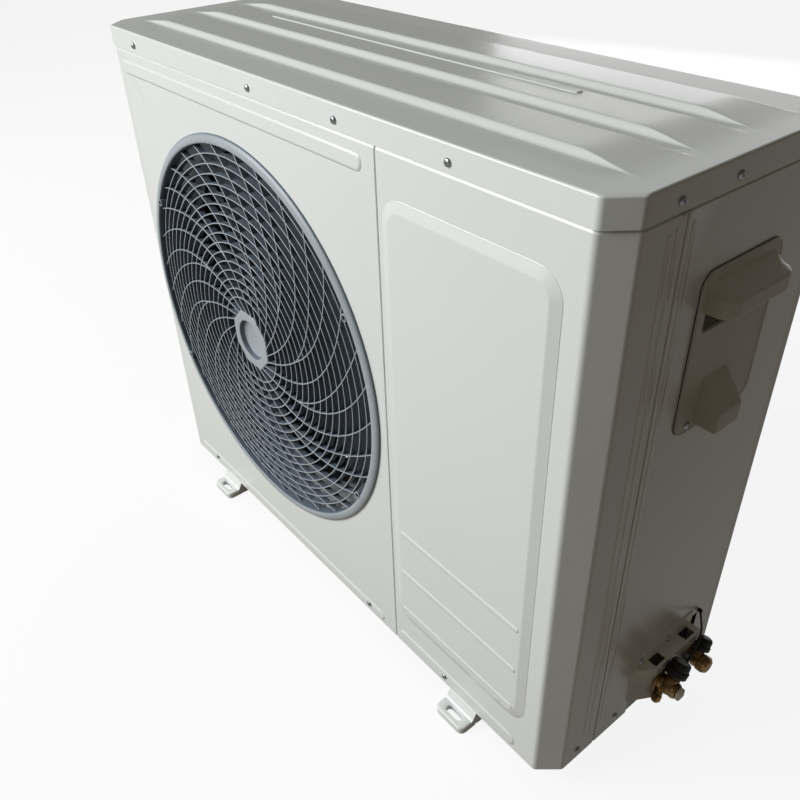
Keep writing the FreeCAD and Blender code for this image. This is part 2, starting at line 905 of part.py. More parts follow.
def guard_spoke(start_angle, extra_turn, first_radius, point_count, y0, y1):
    """A thin upright rib that sweeps outwards from the hub plate to the rim.

    It turns further by extra_turn between the fork radius and the radius where the forks are open.
    """
    last_radius = guard_rim_inner_radius + guard_wall / 2
    path = []
    for k in range(point_count):
        share = (k / (point_count - 1)) ** spoke_spacing_power
        radius = first_radius + (last_radius - first_radius) * share
        opening = (radius - fork_radius) / (fork_open_radius - fork_radius)
        opening = min(max(opening, 0), 1)
        angle = math.radians(start_angle + spoke_angle(radius) + extra_turn * opening)
        path.append((guard_x + radius * math.cos(angle), guard_z + radius * math.sin(angle)))
    near = offset_path(path, guard_rib / 2)
    far = offset_path(path, -guard_rib / 2)
    outline = near + far[::-1]
    return prism([Vector(x, y0, z) for x, z in outline], Vector(0, y1 - y0, 0))


def guard_rim():
    """The convex rim: a turned shell whose inner wall enters the panel's hole."""
    crest = front - guard_rim_crest
    middle = guard_rim_radius - rim_crest_from_edge
    inner_front = front - guard_rim_inner_front
    outer = guard_rim_radius
    inner = guard_rim_inner_radius
    under = crest + guard_wall + 2
    profile = [(outer, front), (outer - rim_shoulder_in, front - rim_shoulder_front), (middle, crest),
               (inner, inner_front), (inner, front + guard_wall_reach),
               (inner + guard_wall, front + guard_wall_reach), (inner + guard_wall, under),
               (outer - rim_inner_step, under), (outer - rim_inner_edge, front)]
    rim = turned(profile, guard_x, guard_z, round_flat_count)
    bosses = []
    holes = []
    for x, z in guard_points(boss_radius_from_centre, boss_angle):
        boss_start = crest + guard_wall
        bosses.append(flat_rod(Vector(x, boss_start, z), REARWARD, boss_recess_radius + boss_wall,
                               front - boss_start, 8))
        recess = front - boss_recess_floor
        holes.append(flat_rod(Vector(x, recess - 9, z), REARWARD, boss_recess_radius, 9, 8))
        holes.append(flat_rod(Vector(x, recess - 1, z), REARWARD, screw_hole_radius, 8, 6))
    return rim.fuse(bosses).cut(holes)


def guard_plate():
    """The eight-sided middle plate with its round dish."""
    corner = guard_plate_apothem / math.cos(math.pi / 8)
    y0 = front - guard_plate_front
    points = []
    for k in range(8):
        angle = math.pi / 8 + k * math.pi / 4
        points.append(Vector(guard_x + corner * math.cos(angle), y0, guard_z + corner * math.sin(angle)))
    plate = prism(points, Vector(0, guard_plate_depth, 0))
    edges = [e for e in plate.Edges if e.BoundBox.YMax < y0 + 0.01]
    plate = plate.makeChamfer(2, edges)
    dish = turned([(0, y0 - 1), (guard_dish_radius, y0 - 1), (guard_dish_radius - 2, y0 + guard_dish_depth),
                   (0, y0 + guard_dish_depth)], guard_x, guard_z, 20)
    return plate.cut(dish)


def fan_guard():
    """The whole guard: curved spokes in front, concentric rings close behind them.

    Every second spoke forks, so three spokes reach the rim for every two that leave the hub plate.
    """
    y0 = front - spoke_front
    y1 = y0 + ring_depth
    spoke_start = guard_plate_apothem - 3
    spokes = []
    for k in range(hub_spoke_count):
        start = 360 / hub_spoke_count * k + spoke_phase
        forked = k % 2 == 0
        turn = hub_spoke_turn if forked else lone_spoke_turn
        spokes.append(guard_spoke(start, turn, spoke_start, spoke_points, y0, y1))
        if forked:
            spokes.append(guard_spoke(start, branch_spoke_turn, fork_radius, fork_points, y0, y1))
    front_layer = guard_rim().fuse([guard_plate()] + spokes).removeSplitter()
    half = guard_rib / 2
    rings = []
    for k in range(ring_count):
        radius = first_ring_radius + ring_pitch * k
        profile = [(radius - half, y1), (radius + half, y1), (radius, y1 + ring_depth)]
        rings.append(turned(profile, guard_x, guard_z, ring_flat_count))
    return Part.makeCompound([front_layer] + rings)


# Air path


def air_ring():
    y0 = front + sheet
    throat_start = y0 + air_ring_flare
    end = y0 + air_ring_length
    flare = air_ring_flare_radius
    throat = air_ring_throat
    wall = air_ring_wall
    profile = [(air_ring_flange_radius, y0), (flare, y0), (throat, throat_start), (throat, end),
               (throat + wall, end), (throat + wall, throat_start + 1), (flare, y0 + wall),
               (air_ring_flange_radius, y0 + wall)]
    ring = turned(profile, guard_x, guard_z, round_flat_count)
    holes = [flat_rod(Vector(x, y0 - 1, z), REARWARD, screw_hole_radius, 8, 6)
             for x, z in guard_points(boss_radius_from_centre, boss_angle)]
    return ring.cut(holes)


def blade_section(reach, trailing, leading, half_depth, middle):
    """A thin curved section of a blade, in the plane at this reach along the blade."""
    upper = []
    lower = []
    slope = Vector(leading - trailing, 2 * half_depth, 0).normalize()
    for k in range(blade_flats + 1):
        share = k / blade_flats
        bulge = 4 * share * (1 - share)
        across = trailing + (leading - trailing) * share
        depth = middle + half_depth * (2 * share - 1)
        half = blade_thickness * (0.2 + 0.3 * bulge)
        for side, lift in ((upper, blade_camber * bulge + half), (lower, blade_camber * bulge - half)):
            side.append(Vector(across - slope.y * lift, depth + slope.x * lift, reach))
    return upper + lower[::-1]


def fan_blade(middle):
    """A broad blade that leans forwards in the sense of turning, cut to the tip circle."""
    sections = []
    root = fan_hub_radius - 14
    span = fan_tip_radius + 4 - root
    for share in (0.0, 0.35, 0.7, 1.0):
        reach = root + span * share
        leading = blade_root_half_width + (blade_leading_reach - blade_root_half_width) * share ** 0.85
        trailing = blade_root_half_width + (blade_trailing_reach - blade_root_half_width) * share
        half_depth = blade_root_half_depth + (blade_tip_half_depth - blade_root_half_depth) * share
        sections.append(blade_section(reach, -trailing, leading, half_depth, middle))
    blade = skin(sections, False)
    limit = flat_rod(Vector(0, middle - fan_hub_length, 0), REARWARD, fan_tip_radius, 2 * fan_hub_length,
                     round_flat_count)
    return blade.common(limit)


def fan():
    """Axial fan: a deep hub cup with three broad blades."""
    middle = fan_front + fan_hub_length / 2 + 4
    bore = shaft_radius / math.cos(math.pi / hub_flat_count)
    hub_profile = [(bore, fan_front), (fan_hub_radius - 8, fan_front),
                   (fan_hub_radius, fan_front + 8), (fan_hub_radius, fan_back),
                   (fan_hub_radius - fan_hub_wall, fan_back),
                   (fan_hub_radius - fan_hub_wall, fan_front + fan_hub_wall + 6),
                   (fan_boss_radius, fan_front + fan_hub_wall), (fan_boss_radius, fan_back),
                   (bore, fan_back)]
    hub = turned(hub_profile, 0, 0, hub_flat_count)
    hollow = flat_rod(Vector(0, fan_front + fan_hub_wall + 6, 0), REARWARD, fan_hub_radius - fan_hub_wall,
                      2 * fan_hub_length, hub_flat_count)
    pieces = [hub]
    for k in range(fan_blade_count):
        blade = fan_blade(middle).cut(hollow)
        blade.rotate(Vector(0, 0, 0), REARWARD, 360 / fan_blade_count * k)
        pieces.append(blade)
    body = joined(pieces)
    body.translate(Vector(guard_x, 0, guard_z))
    return body


def motor_shaft():
    y0 = fan_front - nut_height - shaft_past_nut
    length = motor_front + shaft_in_motor - y0
    return rod(Vector(guard_x, y0, guard_z), REARWARD, shaft_radius, length)


def fan_nut():
    y0 = fan_front - nut_height
    nut = hexagon(Vector(guard_x, y0, guard_z), REARWARD, nut_flats, nut_height)
    bore = flat_rod(Vector(guard_x, y0 - 1, guard_z), REARWARD, shaft_radius / math.cos(math.pi / 12),
                    nut_height + 2, 12)
    return nut.cut(bore)


def fan_motor():
    bore = shaft_radius + shaft_fit
    nose = motor_front + motor_nose_length
    bore_end = motor_front + shaft_in_motor + 1
    profile = [(0, motor_front), (motor_nose_radius, motor_front), (motor_nose_radius, nose),
               (motor_radius - 8, nose), (motor_radius, nose + 8), (motor_radius, motor_back),
               (0, motor_back)]
    body = turned(profile, guard_x, guard_z, 16)
    return body.cut(rod(Vector(guard_x, motor_front - 1, guard_z), REARWARD, bore,
                        bore_end - motor_front + 1))


def motor_bracket():
    """Two uprights from the pan to the coil's top, with a plate that the motor is bolted to."""
    plate_back = motor_back + motor_plate
    pieces = []
    half_span = rail_half_spacing + rail_width / 2
    pieces.append(box(guard_x - half_span, guard_x + half_span, motor_back, plate_back,
                      guard_z - motor_plate_half_height, guard_z + motor_plate_half_height))
    for side in (-1, 1):
        x = guard_x + side * rail_half_spacing
        path = [(x - rail_width / 2, plate_back + rail_depth), (x - rail_width / 2, plate_back),
                (x + rail_width / 2, plate_back), (x + rail_width / 2, plate_back + rail_depth)]
        pieces.append(bent_sheet(path, motor_plate, floor, coil_top))
    pieces.append(box(guard_x - half_span, guard_x + half_span, plate_back, coil_back - 6,
                      coil_top, coil_top + motor_plate))
    return joined(pieces)


# Condenser coil


def condenser_coil():
    """Fin block bent round the rear left corner."""
    turn_x = coil_left + coil_corner_radius
    turn_y = coil_back - coil_corner_radius
    path = [(coil_right_end, coil_back)]
    for k in range(7):
        turn = math.radians(90 + 15 * k)
        path.append((turn_x + coil_corner_radius * math.cos(turn),
                     turn_y + coil_corner_radius * math.sin(turn)))
    path.append((coil_left, coil_front_end))
    return bent_sheet(path, coil_depth, floor, coil_top)


def coil_end_plates():
    margin = 1.5
    right_plate = box(coil_right_end, coil_right_end + end_plate, coil_front - margin,
                      coil_back + margin, floor, coil_top)
    front_plate = box(coil_left - margin, coil_left + coil_depth + margin,
                      coil_front_end - end_plate, coil_front_end, floor, coil_top)
    return Part.makeCompound([right_plate, front_plate])


def coil_bends():
    """Hairpin bends that join the tubes at the coil's right end, in two rows."""
    x0 = coil_right_end + end_plate
    x1 = x0 + hairpin_reach
    outer = hairpin_bend + hairpin_tube / 2
    inner = hairpin_bend - hairpin_tube / 2
    bends = []
    pitch = (coil_top - floor - 2 * hairpin_margin) / (hairpin_count / 2 - 1)
    for row in (0.25, 0.75):
        y = coil_front + coil_depth * row - hairpin_tube / 2
        for k in range(hairpin_count // 2):
            z = floor + hairpin_margin + pitch * k
            outline = []
            for radius, turns in ((outer, (-90, -45, 0, 45, 90)), (inner, (90, 45, 0, -45, -90))):
                arc = [(x1 + radius * math.cos(math.radians(t)), z + radius * math.sin(math.radians(t)))
                       for t in turns]
                leg = [(x0, z + math.copysign(radius, turns[0]))]
                end = [(x0, z + math.copysign(radius, turns[-1]))]
                outline += leg + arc + end
            bends.append(prism([Vector(a, y, b) for a, b in outline], REARWARD * hairpin_tube))
    return Part.makeCompound(bends)


def coil_header():
    """Upright tube that feeds the coil through short stubs."""
    x0 = coil_right_end + end_plate
    x = coil_right_end + header_from_coil
    y = coil_front + coil_depth / 2
    length = header_top - header_low
    tube = flat_rod(Vector(x, y, header_low), UP, header_radius, length, 8)
    stubs = [flat_rod(Vector(x0, y, header_low + length * share), ACROSS, 4, x - x0, 6)
             for share in (0.12, 0.5, 0.88)]
    return joined([tube] + stubs)


def partition_plate():
    """Bent sheet between the fan and the compressor."""
    x = seam + seam_gap / 2 + sheet
    path = [(x, front + inner_flange), (x, front + partition_straight),
            (box_left, front + partition_second_bend), (box_left, coil_front - 7)]
    return bent_sheet(path, sheet, floor, ceiling)


# Refrigerant circuit inside


def compressor():
    low = compressor_low + foot_plate
    dome = compressor_dome
    radius = compressor_radius
    profile = [(0, low), (radius - 16, low), (radius, low + 16), (radius, compressor_top - dome),
               (radius - 10, compressor_top - 8), (radius - 30, compressor_top), (0, compressor_top)]
    return turned_up(profile, compressor_x, compressor_y, 20)


def ear_points():
    return [(compressor_x + ear_circle * math.cos(math.radians(angle)),
             compressor_y + ear_circle * math.sin(math.radians(angle)))
            for angle in (first_ear_angle, first_ear_angle + 120, first_ear_angle + 240)]


def compressor_foot():
    """Three-eared plate under the compressor."""
    centre = Vector(compressor_x, compressor_y, compressor_low)
    pieces = [flat_rod(centre, UP, compressor_radius - 4, foot_plate, 12)]
    for x, y in ear_points():
        end = Vector(x, y, compressor_low)
        pieces.append(flat_rod(end, UP, ear_radius, foot_plate, 6))
        out = (end - centre).normalize()
        side = Vector(-out.y, out.x, 0) * ear_radius * 0.92
        pieces.append(prism([centre - side, end - side, end + side, centre + side], UP * foot_plate))
    holes = [flat_rod(Vector(x, y, compressor_low - 1), UP, stud_radius + seat_gap, foot_plate + 2, 6)
             for x, y in ear_points()]
    return joined(pieces).cut(holes)


def compressor_grommets():
    rings = []
    for x, y in ear_points():
        bore = stud_radius / math.cos(math.pi / 6)
        profile = [(bore, floor), (grommet_radius, floor),
                   (grommet_radius - grommet_waist, floor + grommet_waist_height),
                   (grommet_radius, compressor_low), (bore, compressor_low)]
        rings.append(turned_up(profile, x, y, 6))
    return Part.makeCompound(rings)


def compressor_studs():
    """Studs that stand on the pan, each with its nut on the ear."""
    studs = []
    top_of_ear = compressor_low + foot_plate
    for x, y in ear_points():
        stud = flat_rod(Vector(x, y, floor), UP, stud_radius, top_of_ear + stud_above_ear - floor, 6)
        nut = hexagon(Vector(x, y, top_of_ear), UP, stud_nut_flats, stud_nut_height)
        studs.append(joined([stud, nut]))
    return Part.makeCompound(studs)


def terminal_cover():
    """Moulded cover over the compressor's terminals."""
    length, width, height = terminal_cover_size
    x0 = compressor_x + terminal_cover_from_axis[0]
    y0 = compressor_y + terminal_cover_from_axis[1]
    cap = box(x0, x0 + length, y0, y0 + width, compressor_top, compressor_top + height)
    middle = compressor_top + height / 2
    edges = [e for e in cap.Edges if e.BoundBox.ZMax > middle]
    return cap.makeChamfer(terminal_cover_bevel, edges)


def accumulator_axis():
    reach = compressor_radius + accumulator_radius + accumulator_gap
    angle = math.radians(accumulator_angle)
    return compressor_x + reach * math.cos(angle), compressor_y + reach * math.sin(angle)


def vessel(x, y, low, height, radius):
    """A steel vessel with domed ends and a flat spot on top."""
    inner = radius - vessel_dome_inset
    high = low + height
    profile = [(0, low), (inner, low), (radius, low + vessel_low_dome), (radius, high - vessel_dome_inset),
               (inner, high), (0, high)]
    return turned_up(profile, x, y, 16)


def accumulator():
    x, y = accumulator_axis()
    body = vessel(x, y, accumulator_low, accumulator_height, accumulator_radius)
    toward = Vector(compressor_x - x, compressor_y - y, 0).normalize()
    strap = prism_strap(x, y, toward)
    return joined([body, strap])


def prism_strap(x, y, toward):
    """Welded tab that holds the accumulator to the compressor's shell."""
    side = Vector(-toward.y, toward.x, 0) * strap_half_width
    start = Vector(x, y, accumulator_low + accumulator_height / 2)
    end = start + toward * (accumulator_radius + accumulator_gap)
    return prism([start - side, end - side, end + side, start + side], UP * strap_height)


def liquid_receiver():
    body = vessel(receiver_x, receiver_y, floor + receiver_stand, receiver_height, receiver_radius)
    inner = receiver_radius - receiver_stand_inset
    stand_top = floor + receiver_stand + 3
    stand = turned_up([(inner, floor), (receiver_radius - receiver_stand_wall, floor),
                       (inner + receiver_stand_wall, stand_top), (inner, stand_top)],
                      receiver_x, receiver_y, 12)
    return joined([body, stand])


def filter_drier():
    x = coil_right_end + header_from_coil + drier_from_header
    high = drier_low + drier_length
    profile = [(0, drier_low), (drier_neck, drier_low), (drier_radius, drier_low + drier_cone),
               (drier_radius, high - drier_cone), (drier_neck, high), (0, high)]
    return turned_up(profile, x, drier_y, 12)


def valve_axis(number):
    return front + valve_from_front[number], base + valve_height


def stub_end(number):
    y, z = valve_axis(number)
    return Vector(bracket_face - bracket_sheet - valve_stub_length, y, z)


def suction_pipe():
    """From the gas valve over to the accumulator, and from there into the compressor."""
    x, y = accumulator_axis()
    start = stub_end(1)
    high = compressor_top + suction_rise
    corner = start - ACROSS * suction_first_run
    points = [start, corner, Vector(corner.x, start.y, high), Vector(x, y, high),
              Vector(x, y, accumulator_low + accumulator_height)]
    over = pipe(points, gas_pipe_radius, pipe_bend)
    toward = Vector(compressor_x - x, compressor_y - y, 0).normalize()
    low = accumulator_low - pipe_bend - 2
    reach = accumulator_radius + accumulator_gap
    under = pipe([Vector(x, y, accumulator_low), Vector(x, y, low),
                  Vector(x, y, low) + toward * reach], gas_pipe_radius, pipe_bend)
    return Part.makeCompound([over, under])


def discharge_pipe():
    header_x = coil_right_end + header_from_coil
    y = coil_front + coil_depth / 2
    start = Vector(compressor_x - discharge_from_axis, compressor_y, compressor_top)
    turn = compressor_top + discharge_rise
    points = [start, Vector(start.x, start.y, turn), Vector(header_x, y, turn),
              Vector(header_x, y, header_low)]
    return pipe(points, gas_pipe_radius - discharge_thinner, pipe_bend)


def liquid_pipe():
    """From the coil through the drier into the receiver, and on to the liquid valve."""
    x = coil_right_end + header_from_coil + drier_from_header
    y = coil_front + coil_depth / 2
    radius = liquid_pipe_radius
    z = floor + liquid_outlet_height
    first = pipe([Vector(coil_right_end + end_plate, y, z), Vector(x, y, z), Vector(x, drier_y, z),
                  Vector(x, drier_y, drier_low)], radius, liquid_bend)
    top_of_drier = drier_low + drier_length
    top_of_receiver = floor + receiver_stand + receiver_height
    high = top_of_receiver + liquid_over_receiver
    second = pipe([Vector(x, drier_y, top_of_drier), Vector(x, drier_y, high),
                   Vector(receiver_x, receiver_y, high), Vector(receiver_x, receiver_y, top_of_receiver)],
                  radius, liquid_bend)
    end = stub_end(0)
    low = floor + liquid_low_run
    run_x = end.x - liquid_valve_run
    third = pipe([Vector(receiver_x + receiver_radius, receiver_y, low), Vector(run_x, receiver_y, low),
                  Vector(run_x, end.y, low), Vector(run_x, end.y, end.z), end], radius, liquid_last_bend)
    return Part.makeCompound([first, second, third])


# Electrical box


def electrical_box():
    """Open-topped tray with an apron that carries the terminal block."""
    y0 = front + inner_flange
    outer = box(box_left, box_right, y0, box_far, box_low, box_low + box_height)
    inner = box(box_left + sheet, box_right - sheet, y0 + sheet, box_far - sheet,
                box_low + sheet, box_low + box_height)
    apron = box(box_right - sheet, box_right, y0 + apron_from_front, box_far,
                box_low - apron_drop, box_low + sheet)
    hole_start = Vector(box_left + cable_hole_from_left, box_far - 5, box_low + cable_hole_height)
    cable_hole = flat_rod(hole_start, REARWARD, cable_hole_radius, 10, 12)
    return outer.cut(inner).fuse(apron).cut(cable_hole).removeSplitter()


def control_board():
    """Board on four posts with its relays, connectors and a coil core."""
    x0 = box_left + board_margin
    x1 = box_right - board_margin
    y0 = front + inner_flange + board_margin
    y1 = box_far - board_margin
    z = box_low + sheet
    level = z + board_stand_off
    surface = level + board_thickness
    pieces = [box(x0, x1, y0, y1, level, surface)]
    far_margin = board_post_margin + board_post
    for x in (x0 + board_post_margin, x1 - far_margin):
        for y in (y0 + board_post_margin, y1 - far_margin):
            pieces.append(box(x, x + board_post, y, y + board_post, z, level))
    relay_y = y0 + board_post_margin
    for k in range(relay_count):
        x = x0 + relay_first + relay_pitch * k
        pieces.append(box(x, x + relay_width, relay_y, relay_y + relay_depth,
                          surface, surface + relay_height))
    core_x = x0 + core_from_left
    core_y = y1 - core_from_far_edge - core_length
    pieces.append(box(core_x, core_x + core_width, core_y, core_y + core_length,
                      surface, surface + core_height))
    return joined(pieces)


def board_surface():
    return box_low + sheet + board_stand_off + board_thickness


def heat_sink():
    """Comb of aluminium fins on the power stage."""
    z = board_surface()
    x0 = box_left + board_margin + heat_sink_from_left
    y0 = front + inner_flange + board_margin + heat_sink_from_front
    width = heat_sink_pitch * (heat_sink_fins - 1) + heat_sink_fin
    points = [(0, 0), (width, 0)]
    for k in range(heat_sink_fins - 1, -1, -1):
        x = heat_sink_pitch * k
        points += [(x + heat_sink_fin, heat_sink_height), (x, heat_sink_height)]
        if k > 0:
            points += [(x, heat_sink_base), (x - heat_sink_pitch + heat_sink_fin, heat_sink_base)]
    return prism([Vector(x0 + a, y0, z + b) for a, b in points], Vector(0, heat_sink_length, 0))


def capacitors():
    z = board_surface()
    x = box_right - board_margin - capacitor_from_right
    y = front + inner_flange + board_margin + capacitor_from_front
    cans = []
    for k in range(capacitor_count):
        start = Vector(x, y + capacitor_pitch * k, z)
        cans.append(flat_rod(start, UP, capacitor_radius, capacitor_height, 10))
    return Part.makeCompound(cans)


def terminal_block():
    """Row of terminals with barriers between them."""
    x0 = box_right
    y0 = terminal_start
    z0 = box_low - apron_drop + terminal_above_apron
    z1 = z0 + terminal_height
    length = terminal_pitch * terminal_count + barrier_thickness
    pieces = [box(x0, x0 + terminal_base, y0, y0 + length, z0, z1)]
    for k in range(terminal_count + 1):
        y = y0 + terminal_pitch * k
        pieces.append(box(x0, x0 + barrier_reach, y, y + barrier_thickness, z0, z1))
    for k in range(terminal_count):
        y = y0 + terminal_pitch * k + clamp_margin
        pieces.append(box(x0 + clamp_inner, x0 + clamp_outer, y, y + clamp_length,
                          z0 + clamp_margin, z1 - clamp_margin))
    return joined(pieces)


# Cable cover on the right side


def slanted_profile(y0, y1, corners):
    """A shape with the same outline in every plane across Y; corners hold (x, z)."""
    return prism([Vector(x, y0, z) for x, z in corners], Vector(0, y1 - y0, 0))


def rounded_tongue(x0, x1, y0, y1, z0, z1, corner):
    """A block that stands out to the right, with its two outer upright corners rounded."""
    plan = [(x0, y1), (x0, y0)]
    for centre, start in (((x1 - corner, y0 + corner), -90), ((x1 - corner, y1 - corner), 0)):
        for k in range(4):
            turn = math.radians(start + 30 * k)
            plan.append((centre[0] + corner * math.cos(turn), centre[1] + corner * math.sin(turn)))
    return prism_up(plan, z0, z1)


def cable_cover():
    """Moulded cover: rounded plate, overhanging hood over a hand hollow, closed nose below."""
    y0 = front + cable_cover_from_front
    y1 = y0 + cable_cover_width
    z0 = cover_low
    z1 = z0 + cable_cover_height
    wall = cover_plate
    plate_face = right + cover_plate
    plate = rounded_side_plate(y0, y1, z0, z1, cable_cover_corner, right, plate_face)
    near = y0 + hood_margin
    far = y1 - hood_margin
    hood_top = z1 - hood_top_drop
    hood_face = right + hood_reach
    hood_low = hood_top - hood_height
    slant = slanted_profile(near, far, [(right, hood_top), (plate_face, hood_top),
                                        (hood_face, hood_top - hood_slope),
                                        (hood_face, hood_low), (right, hood_low)])
    hood = rounded_tongue(right, hood_face, near, far, hood_low, hood_top, hood_corner).common(slant)
    slant = slanted_profile(near, far, [(right - 1, hood_top - wall), (plate_face, hood_top - wall),
                                        (hood_face - wall, hood_top - hood_slope - wall + 1),
                                        (hood_face - wall, hood_low - 5), (right - 1, hood_low - 5)])
    under = rounded_tongue(right - 1, hood_face - wall, near + wall, far - wall, hood_low - 5,
                           hood_top, hood_corner - wall).common(slant)
    well_low = z0 + hollow_above_cover
    well_outer = box(right - hollow_depth, right, near - hollow_wall + seat_gap,
                     far + hollow_wall - seat_gap, well_low - hollow_wall + seat_gap, hood_top - seat_gap)
    well_inner = box(right - hollow_depth + hollow_wall, plate_face + 1, near + hollow_wall,
                     far - hollow_wall, well_low + hollow_wall, hood_top - hollow_wall - 3)
    nose_near = y0 + nose_from_edge
    nose_far = nose_near + nose_width
    nose_face = right + nose_reach
    nose_low = z0 + nose_above_cover
    nose_top = nose_low + nose_height
    face_low = nose_low + nose_face_low
    face_top = face_low + nose_face_height
    slant = slanted_profile(nose_near, nose_far, [(right, nose_top), (plate_face, nose_top),
                                                  (nose_face, face_top), (nose_face, face_low),
                                                  (plate_face, nose_low), (right, nose_low)])
    nose = rounded_tongue(right, nose_face, nose_near, nose_far, nose_low, nose_top,
                          nose_corner).common(slant)
    nose_hollow = slanted_profile(nose_near + wall, nose_far - wall,
                                  [(right, nose_top - 2 * wall), (nose_face - wall, face_top - wall),
                                   (nose_face - wall, face_low + wall), (right, nose_low + 2 * wall)])
    body = plate.fuse([hood, well_outer, nose])
    return body.cut([under, well_inner, nose_hollow]).removeSplitter()


def cover_screw_y():
    return front + cable_cover_from_front + cover_screw_from_edge


def cover_screw_z():
    return cover_low + cover_screw_above_cover


# Valve bracket and service valves


def bracket_plan():
    y0 = front + bracket_start
    y1 = y0 + bracket_length
    return [(right, y0), (bracket_face, y0 + bracket_cheek), (bracket_face, y1), (right, y1)]


def valve_bracket():
    """Bent bracket: flange on the side panel, shelf with two windows, outer face, two cheeks."""
    plan = bracket_plan()
    shelf_z = base + bracket_shelf
    low = base + bracket_low
    walls = bent_sheet(plan, bracket_sheet, low, shelf_z)
    shelf = prism_up(plan, shelf_z - bracket_sheet, shelf_z)
    y0 = plan[0][1]
    flange = box(right, right + bracket_sheet, y0, y0 + bracket_length, shelf_z - bracket_sheet,
                 base + bracket_flange_top)
    cuts = []
    for from_front in bracket_windows_from_front:
        y = front + from_front
        cuts.append(box(right + bracket_sheet, right + bracket_sheet + bracket_window,
                        y, y + bracket_window_length, shelf_z - 5, shelf_z + 1))
    for number in range(len(valve_from_front)):
        y, z = valve_axis(number)
        cuts.append(flat_rod(Vector(bracket_face - 5, y, z), ACROSS, valve_hole_radius, 10, 8))
    cuts.append(box(right - 10, right, y0 - 20, y0 + 20, low - 1, shelf_z + 1))
    return walls.fuse([shelf, flange]).cut(cuts).removeSplitter()


def service_valve(number):
    """Forged valve body: flange, barrel, flare port that leans to the rear and a service port."""
    y, z = valve_axis(number)
    face = bracket_face
    barrel_start = face + valve_flange
    half_width = valve_flange_half_widths[number]
    half_height = valve_flange_half_heights[number]
    stub = flat_rod(Vector(face - bracket_sheet - valve_stub_length, y, z), ACROSS,
                    valve_hole_radius - seat_gap, bracket_sheet + valve_stub_length, 8)
    flange = rounded_side_plate(y - half_width, y + half_width, z - half_height, z + half_height,
                                valve_flange_corner, face, barrel_start)
    barrel = flat_rod(Vector(face, y, z), ACROSS, valve_barrel_radius,
                      valve_flange + valve_barrel_lengths[number], 16)
    flare = flat_rod(flare_port_root(number), flare_way, flare_port_radii[number],
                     flare_port_lengths[number], 10)
    port = flat_rod(Vector(face + service_port_from_bracket, y, z), port_ways[number],
                    service_port_radius, service_port_lengths[number], 8)
    body = joined([stub, flange, barrel, flare, port])
    bore = rod(Vector(barrel_end(number) - spindle_bore_depth, y, z), ACROSS,
               spindle_radius + spindle_fit, spindle_bore_depth + 1)
    return body.cut(bore)


lean = math.radians(valve_tilt)
flare_way = Vector(0, math.sin(lean), math.cos(lean))
port_ways = (-flare_way, Vector(0, -math.cos(lean), math.sin(lean)))


def flare_port_root(number):
    """The point on the barrel's axis from which the flare port starts."""
    y, z = valve_axis(number)
    return Vector(bracket_face + flare_ports_from_bracket[number], y, z)


def liquid_valve():
    return service_valve(0)


def gas_valve():
    return service_valve(1)


def barrel_end(number):
    return bracket_face + valve_flange + valve_barrel_lengths[number]


def spindle_start(number):
    return barrel_end(number) - spindle_bore_depth + spindle_end_gap


def liquid_valve_spindle():
    """Round spindle in the valve's bore with a square end outside it."""
    y, z = valve_axis(0)
    start = spindle_start(0)
    square_start = barrel_end(0) + spindle_stand_off
    shaft = rod(Vector(start, y, z), ACROSS, spindle_radius, square_start - start)
    half = spindle_square / 2
    square = box(square_start, square_start + spindle_square_length, y - half, y + half, z - half, z + half)
    edges = [e for e in square.Edges if e.BoundBox.XMin > square_start + spindle_square_length - 0.1]
    return joined([shaft, square.makeChamfer(1.2, edges)])


def gas_valve_spindle():
    """Round spindle under the cap, with a hexagon socket in its end."""
    y, z = valve_axis(1)
    start = spindle_start(1)
    end = barrel_end(1) + 3
    shaft = rod(Vector(start, y, z), ACROSS, spindle_radius, end - start)
    socket = hexagon(Vector(end - 6, y, z), ACROSS, 5, 7)
    return shaft.cut(socket)


def stem_cap():
    """Brass hexagon cap that closes the gas valve, hollow over the spindle's end."""
    y, z = valve_axis(1)
    x = barrel_end(1)
    corner = stem_cap_flats / math.sqrt(3)
    rings = []
    for reach, size in ((0, 0.94), (1.5, 1.0), (stem_cap_length - 4, 1.0), (stem_cap_length, 0.8)):
        rings.append([Vector(x + reach, y + corner * size * math.cos(math.radians(60 * k)),
                             z + corner * size * math.sin(math.radians(60 * k))) for k in range(6)])
    cavity = flat_rod(Vector(x - 1, y, z), ACROSS, spindle_radius + 1.5, stem_cap_cavity, 12)
    return skin(rings, False).cut(cavity)


def black_cap(number):
    """Moulded cap on the flare port: a collar and a slightly narrower top."""
    low = flare_port_lengths[number]
    step = low + black_cap_collar
    high = low + black_cap_heights[number]
    radius = black_cap_radii[number]
    upper = radius - black_cap_step
    profile = [(0, low), (radius, low), (radius, step), (upper, step), (upper, high - 3),
               (upper - 3, high), (0, high)]
    return on_flare_port(turned_up(profile, 0, 0, 20), number)


def on_flare_port(shape, number):
    """A shape made along the vertical through the origin, set along the leaning flare port."""
    shape.Placement = FreeCAD.Placement(flare_port_root(number), FreeCAD.Rotation(UP, flare_way))
    return shape


def liquid_flare_cap():
    return black_cap(0)


def gas_flare_cap():
    return black_cap(1)


def port_cap(number):
    """Small hexagon cap on the slanted service port."""
    y, z = valve_axis(number)
    start = Vector(bracket_face + service_port_from_bracket, y, z) + port_ways[number] \
        * service_port_lengths[number]
    return hexagon(start, port_ways[number], service_cap_flats, service_cap_length)


def liquid_port_cap():
    return port_cap(0)


def gas_port_cap():
    return port_cap(1)


